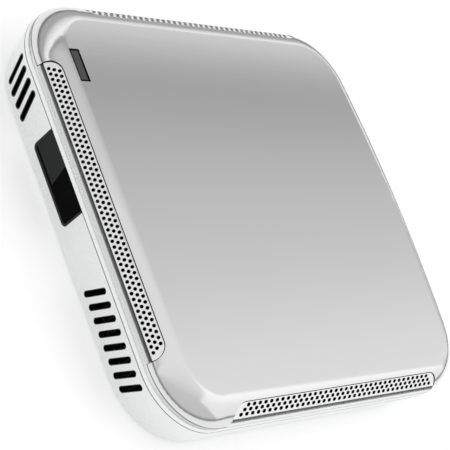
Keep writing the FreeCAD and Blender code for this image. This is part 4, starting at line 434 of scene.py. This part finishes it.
def perforated_steel(name, strip, side):
    """Lacquered punched steel: pale and soft, with painted shade in black on the holes' walls and on a narrow
    rim round each.
    """
    colour = finish().strip_colour
    material, tree, shader = silver_lacquer(name, colour, STRIP_FLAKES)
    shader.inputs["Coat Weight"].default_value = 0.0
    shader.inputs["Specular IOR Level"].default_value = 0.0
    slope = math.radians(strip["slope"])
    land = (math.sin(slope) * side[0], math.sin(slope) * side[1], math.cos(slope))
    facing = add_node(tree, "VectorMath", (add_node(tree, "TexCoord").outputs["Normal"], land),
                      operation="DOT_PRODUCT")
    hole = add_node(tree, "Math", (facing, LAND_FACING), operation="LESS_THAN")
    hole = add_node(tree, "Math", (hole, holes_and_shade_rims(tree, strip, side)), operation="MAXIMUM")
    # painted shade: black on the holes' walls and on a narrow rim round each hole
    over_colour(tree, shader, hole, linear("020202"))
    lacquered = add_node(tree, "Math", (1.0, hole), operation="SUBTRACT")
    feed(shader.inputs["Metallic"],
         add_node(tree, "Math", (lacquered, STRIP_FLAKES), operation="MULTIPLY"))
    return material


def smoked_acrylic():
    """Cast smoked acrylic with an antireflection face: nearly black, with a painted reflection in dark grey
    at its left end, which stops at a leaning edge and above a black band along its foot."""
    black = linear("020202")
    material, tree, shader = new_material("acrylic_smoked_polished", black, 0.0, 0.05,
                                          Specular_IOR_Level=0.02)
    tone(tree, shader, mottle(tree, 6.0), black, 0.2)
    place = add_node(tree, "SeparateXYZ", (add_node(tree, "TexCoord").outputs["Object"],)).outputs
    reflection_edge = add_node(tree, "Math", (place["Z"], REFLECTION_EDGE_LEAN, REFLECTION_END_X), operation="MULTIPLY_ADD")
    beside = add_node(tree, "Math", (place["X"], reflection_edge), operation="LESS_THAN")
    above = add_node(tree, "Math", (place["Z"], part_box("projection_window")[0][2] + REFLECTION_FOOT),
                     operation="GREATER_THAN")
    # painted reflection: dark grey left of the leaning edge and above the black band along the foot
    over_colour(tree, shader, add_node(tree, "Math", (beside, above), operation="MULTIPLY"), linear("333534"))
    return material


def grained(name, colour, roughness, grit_mm):
    """Opaque surface with an even texture; returns the material, its tree and the shader."""
    material, tree, shader = new_material(name, colour, 0.0, roughness)
    # a tool's or a blast's grit is about 0.05 mm, too fine to show, so it is drawn coarser
    texture = mottle(tree, grit_mm)
    tone(tree, shader, texture, colour, 0.06)
    grain(tree, shader, texture, 0.02)
    return material, tree, shader


def key_with_gap_shade():
    """ABS key: a fine-grained charcoal face inside a black rim of painted shade, for the shaded gap round the
    key.
    """
    s = finish()
    material, tree, shader = grained("rocker_key_abs_gap_shade", s.key_colour, 0.4, 0.3)
    low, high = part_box("rocker_key")
    halves = ((high[0] - low[0]) / 2, KEY_FACE_DEPTH / 2)
    place = add_node(tree, "SeparateXYZ", (add_node(tree, "TexCoord").outputs["Object"],)).outputs
    inside = []
    for axis, half in enumerate(halves):
        off = add_node(tree, "Math", (place[axis], (low[axis] + high[axis]) / 2), operation="SUBTRACT")
        off = add_node(tree, "Math", (off,), operation="ABSOLUTE")
        inside.append(add_node(tree, "Math", (off, half - s.key_gap_shade), operation="LESS_THAN"))
    face = add_node(tree, "Math", inside, operation="MULTIPLY")
    # painted shade: black rim round the key's face, for the shaded gap round the key
    over_colour(tree, shader, add_node(tree, "Math", (1.0, face), operation="SUBTRACT"), linear("040404"))
    shader.inputs["Specular IOR Level"].default_value = 0.12
    return material


# --- materials of the inner pieces -----------------------------------------------------------------------

def plastic(name):
    """One of the plastics: matt or softly shiny, with an even texture."""
    colour, roughness, grit_mm = PLASTICS[name]
    return grained(name, linear(colour), roughness, grit_mm)[0]


def black_anodised():
    """Blasted aluminium with its oxide dyed black, a black that also stands in as painted shade behind the
    vent slots: dull, with the blast's even grain.
    """
    return grained("aluminium_black_anodised", linear("060606"), 0.7, 0.8)[0]


def metal(name):
    """One of the metals: its roughness and tone wander with how it was rolled, turned, cast or plated."""
    colour, roughness, period_mm, stretch = METALS[name]
    material, tree, shader = new_material(name, linear(colour), 1.0, roughness)
    texture = mottle(tree, period_mm, stretch)
    tone(tree, shader, texture, linear(colour), 0.05)
    vary_roughness(tree, shader, texture, roughness * METAL_WANDER[0], roughness * METAL_WANDER[1])
    return material


def rubber():
    """Moulded EPDM rubber: dark, dull and faintly mottled."""
    colour = linear("1B1B1C")
    material, tree, shader = new_material("epdm_rubber_moulded", colour, 0.0, 0.75)
    texture = mottle(tree, 0.8)
    tone(tree, shader, texture, colour, 0.15)
    grain(tree, shader, texture, 0.03)
    return material


def felt():
    """Pressed felt: no shine, and fibres that catch light at the edges."""
    colour = linear("161617")
    material, tree, shader = new_material("felt_pressed", colour, 0.0, 0.95, Sheen_Weight=0.4,
                                          Sheen_Roughness=0.5)
    # fibres are about 0.03 mm thick, too fine to show, so they are drawn as thicker tufts
    fibres = mottle(tree, 0.3, stretch=(3, 1, 1), detail=4.0)
    tone(tree, shader, fibres, colour, 0.3)
    grain(tree, shader, fibres, 0.06)
    return material


def circuit_board():
    """Glass-epoxy board under green solder mask: a glossy green with faint tracks."""
    colour = linear("14532F")
    material, tree, shader = new_material("glass_epoxy_solder_mask", colour, 0.0, 0.35, Coat_Weight=0.3)
    # tracks are about 0.2 mm wide, too fine to show, so they are drawn as bundles
    tone(tree, shader, mottle(tree, 1.6, stretch=(5, 1, 1), detail=0.0), colour, 0.25)
    return material


def optical_glass():
    """Polished optical glass with a thin antireflection coat: clear, with a cool blue tint."""
    colour = linear("E6EFF5")
    material, tree, shader = new_material("optical_glass_coated", colour, 0.0, 0.02, Transmission_Weight=1.0,
                                          IOR=1.52)
    tone(tree, shader, mottle(tree, 4.0), colour, 0.03)
    return material


# --- operators -----------------------------------------------------------------------------------------

class Dressing:
    """What the operators share."""
    bl_options = {"REGISTER", "UNDO"}


class PROJECTOR_OT_casing(Dressing, bpy.types.Operator):
    """Paints the housing, bezel ring and side buttons, and brushes the cover"""
    bl_idname = "projector.casing"
    bl_label = "Casing"

    def execute(self, context):
        dress(["top_cover"], brushed_aluminium())
        dress(["lower_housing"], housing_lacquer())
        dress(["bezel_ring"], ring_lacquer())
        dress(["power_button", "eject_button"],
              silver_lacquer("abs_silver_button", finish().button_colour, BUTTON_FLAKES)[0])
        return {"FINISHED"}


class PROJECTOR_OT_grilles(Dressing, bpy.types.Operator):
    """Finishes the perforated strips on the shoulders"""
    bl_idname = "projector.grilles"
    bl_label = "Perforated strips"

    def execute(self, context):
        dress(["front_grille"], perforated_steel("steel_perforated_front", FRONT_STRIP, (0, -1)))
        dress(["left_grille"], perforated_steel("steel_perforated_left", SIDE_STRIP, (-1, 0)))
        dress(["right_grille"], perforated_steel("steel_perforated_right", SIDE_STRIP, (1, 0)))
        return {"FINISHED"}


class PROJECTOR_OT_window(Dressing, bpy.types.Operator):
    """Finishes the projection window and its gasket"""
    bl_idname = "projector.window"
    bl_label = "Projection window"

    def execute(self, context):
        dress(["projection_window"], smoked_acrylic())
        dress(["window_gasket"], rubber())
        return {"FINISHED"}


class PROJECTOR_OT_trim(Dressing, bpy.types.Operator):
    """Finishes the rocker key, feet, screws, tripod socket, sockets and disc slot"""
    bl_idname = "projector.trim"
    bl_label = "Key, feet and sockets"

    def execute(self, context):
        dress(["rocker_key"], key_with_gap_shade())
        dress(["feet", "chassis_grommets", "load_roller"], rubber())
        dress(["housing_screws", "board_screws", "drive_screws"], metal("steel_zinc_plated"))
        dress(["tripod_insert"], metal("brass_turned"))
        dress(["hdmi_socket", "usb_socket"], metal("steel_nickel_plated"))
        dress(["power_jack", "audio_jack"], plastic("nylon_black_moulded"))
        dress(["slot_lips"], felt())
        return {"FINISHED"}


class PROJECTOR_OT_optics(Dressing, bpy.types.Operator):
    """Finishes the light engine, its lenses and motors, and the pickup"""
    bl_idname = "projector.optics"
    bl_label = "Light engine"

    def execute(self, context):
        dress(["light_engine_case", "pickup_sled"], metal("aluminium_die_cast"))
        dress(["engine_lid"], metal("steel_cold_rolled_lid"))
        dress(["relay_prism", "condenser_lenses", "front_lens", "rear_lens", "dichroic_mirrors",
               "pickup_lens"], optical_glass())
        dress(["lens_sleeve", "lens_cell"], plastic("polycarbonate_black_matt"))
        dress(["focus_ring", "focus_pinion"], plastic("nylon_natural"))
        dress(["focus_motor", "sled_motor", "load_motor"], metal("steel_motor_can"))
        return {"FINISHED"}


class PROJECTOR_OT_cooling(Dressing, bpy.types.Operator):
    """Finishes the heat sinks, heat pipe and blower"""
    bl_idname = "projector.cooling"
    bl_label = "Cooling"

    def execute(self, context):
        # black anodising, whose black also stands in as painted shade behind the vent slots
        dress(["left_heat_sink", "right_heat_sink"], black_anodised())
        # its near-black copper is painted shade, for what shows through the strip's holes
        dress(["heat_pipe"], metal("copper_painted_shade"))
        dress(["led_spreader"], metal("copper_drawn"))
        dress(["blower_case"], plastic("pbt_black_case"))
        dress(["blower_rotor"], plastic("pbt_black_wheel"))
        return {"FINISHED"}


class PROJECTOR_OT_electronics(Dressing, bpy.types.Operator):
    """Finishes the boards, chips, battery and speakers"""
    bl_idname = "projector.electronics"
    bl_label = "Electronics"

    def execute(self, context):
        dress(["main_board", "mirror_chip_board", "led_modules", "key_switch_board", "side_switch_board"],
              circuit_board())
        dress(["board_chips"], plastic("epoxy_chip_package"))
        dress(["battery_pack"], plastic("pet_shrink_wrap"))
        dress(["speakers"], plastic("abs_speaker_box"))
        return {"FINISHED"}


class PROJECTOR_OT_drive(Dressing, bpy.types.Operator):
    """Finishes the disc drive"""
    bl_idname = "projector.drive"
    bl_label = "Disc drive"

    def execute(self, context):
        dress(["drive_chassis", "disc_guide_plate", "roller_cradle"], metal("steel_zinc_plated_sheet"))
        dress(["spindle_stator"], metal("steel_silicon_lamination"))
        dress(["guide_rods", "lead_screw"], metal("steel_ground_rod"))
        dress(["turntable"], plastic("polycarbonate_turntable"))
        return {"FINISHED"}


# --- studio ------------------------------------------------------------------------------------------------

def soft_box(power):
    """One large square lamp behind the part and to its right, turned to face it."""
    lamp = bpy.data.lights.new("soft_box", "AREA")
    lamp.shape, lamp.size, lamp.energy = "SQUARE", LAMP_SIDE, power
    piece = bpy.data.objects.new("soft_box", lamp)
    piece.location = LAMP_PLACE
    piece.rotation_euler = (-Vector(LAMP_PLACE)).to_track_quat("-Z", "Y").to_euler()
    bpy.context.scene.collection.objects.link(piece)


def soft_sky(strength):
    """Sky of long soft panels beside and above the part, with a graded gap left of overhead."""
    world = bpy.data.worlds.new("soft_studio")
    bpy.context.scene.world = world
    world.use_nodes = True
    tree = world.node_tree
    background = tree.nodes["Background"]
    background.inputs["Color"].default_value = (1.0, 1.0, 1.0, 1.0)
    way = add_node(tree, "SeparateXYZ", (add_node(tree, "TexCoord").outputs["Generated"],)).outputs
    rise = add_node(tree, "Math", (way["Z"], LEAST_RISE), operation="MAXIMUM")
    slant = add_node(tree, "Math", (way["X"], rise), operation="DIVIDE")
    start, end = PANELS[0][0], PANELS[-1][0]
    along_ramp = add_node(tree, "MapRange", {"Value": slant, "From Min": start, "From Max": end})
    ramp = add_node(tree, "ValToRGB", (along_ramp,))
    stops = ramp.color_ramp.elements
    for lean, _ in PANELS[1:-1]:
        stops.new((lean - start) / (end - start))
    for stop, (_, level) in zip(stops, PANELS):
        stop.color = (level, level, level, 1.0)
    above_horizon = add_node(tree, "MapRange", {"Value": way["Z"], "From Min": HORIZON[0],
                                                "From Max": HORIZON[1], "To Min": ROOM_LEVEL},
                             interpolation_type="SMOOTHSTEP")
    light = add_node(tree, "Math", (ramp, strength), operation="MULTIPLY")
    feed(background.inputs["Strength"],
         add_node(tree, "Math", (light, above_horizon), operation="MULTIPLY"))


def floor_paint():
    """Pale emulsion paint: flat white, which keeps the part's soft shadow."""
    material, tree, shader = new_material("studio_floor_paint", linear("F4F4F4"), 0.0, 0.9)
    # the floor glows only for the camera, mirrors and glass, so it casts no extra light on the part
    path = add_node(tree, "LightPath").outputs
    seen = add_node(tree, "Math", (path["Is Camera Ray"], path["Is Glossy Ray"]), operation="MAXIMUM")
    seen = add_node(tree, "Math", (seen, path["Is Transmission Ray"]), operation="MAXIMUM")
    shader.inputs["Emission Color"].default_value = (1.0, 1.0, 1.0, 1.0)
    feed(shader.inputs["Emission Strength"],
         add_node(tree, "Math", (seen, FLOOR_GLOW), operation="MULTIPLY"))
    return material


class PROJECTOR_OT_stage(Dressing, bpy.types.Operator):
    """Builds the floor, soft light and camera"""
    bl_idname = "projector.stage"
    bl_label = "Studio"

    def execute(self, context):
        s = context.scene.projector_studio
        half = FLOOR_HALF
        mesh = bpy.data.meshes.new("studio_floor")
        mesh.from_pydata([(-half, -half, 0), (half, -half, 0), (half, half, 0), (-half, half, 0)], [],
                         [(0, 1, 2, 3)])
        mesh.materials.append(floor_paint())
        floor = bpy.data.objects.new("studio_floor", mesh)
        context.scene.collection.objects.link(floor)
        soft_sky(s.world_strength)
        soft_box(s.key_power)
        lens = bpy.data.cameras.new("camera")
        lens.lens, lens.sensor_width = s.focal_length, SENSOR_WIDTH
        camera = bpy.data.objects.new("camera", lens)
        camera.location, camera.rotation_euler = s.camera_place, s.camera_turn
        context.scene.collection.objects.link(camera)
        context.scene.camera = camera
        context.scene.view_settings.view_transform = "Standard"
        return {"FINISHED"}


class PROJECTOR_PT_panel(bpy.types.Panel):
    """Lists the settings and the steps"""
    bl_label = "Pocket projector"
    bl_idname = "PROJECTOR_PT_panel"
    bl_space_type = "VIEW_3D"
    bl_region_type = "UI"
    bl_category = "Projector"

    def draw(self, context):
        for group in (context.scene.projector_finish, context.scene.projector_studio):
            for name in group.__annotations__:
                self.layout.prop(group, name)
        for step in STEPS:
            self.layout.operator(step.bl_idname)


STEPS = (PROJECTOR_OT_casing, PROJECTOR_OT_grilles, PROJECTOR_OT_window, PROJECTOR_OT_trim,
         PROJECTOR_OT_optics, PROJECTOR_OT_cooling, PROJECTOR_OT_electronics, PROJECTOR_OT_drive,
         PROJECTOR_OT_stage)
CLASSES = (FinishSettings, StudioSettings) + STEPS + (PROJECTOR_PT_panel,)


def register():
    """Makes the classes and the scene's settings known to Blender."""
    for cls in CLASSES:
        bpy.utils.register_class(cls)
    bpy.types.Scene.projector_finish = PointerProperty(type=FinishSettings)
    bpy.types.Scene.projector_studio = PointerProperty(type=StudioSettings)


def unregister():
    """Takes them away again."""
    del bpy.types.Scene.projector_finish
    del bpy.types.Scene.projector_studio
    for cls in reversed(CLASSES):
        bpy.utils.unregister_class(cls)


def main():
    """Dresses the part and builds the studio."""
    register()
    bpy.ops.projector.casing()
    bpy.ops.projector.grilles()
    bpy.ops.projector.window()
    bpy.ops.projector.trim()
    bpy.ops.projector.optics()
    bpy.ops.projector.cooling()
    bpy.ops.projector.electronics()
    bpy.ops.projector.drive()
    bpy.ops.projector.stage()


if __name__ == "__main__":
    main()
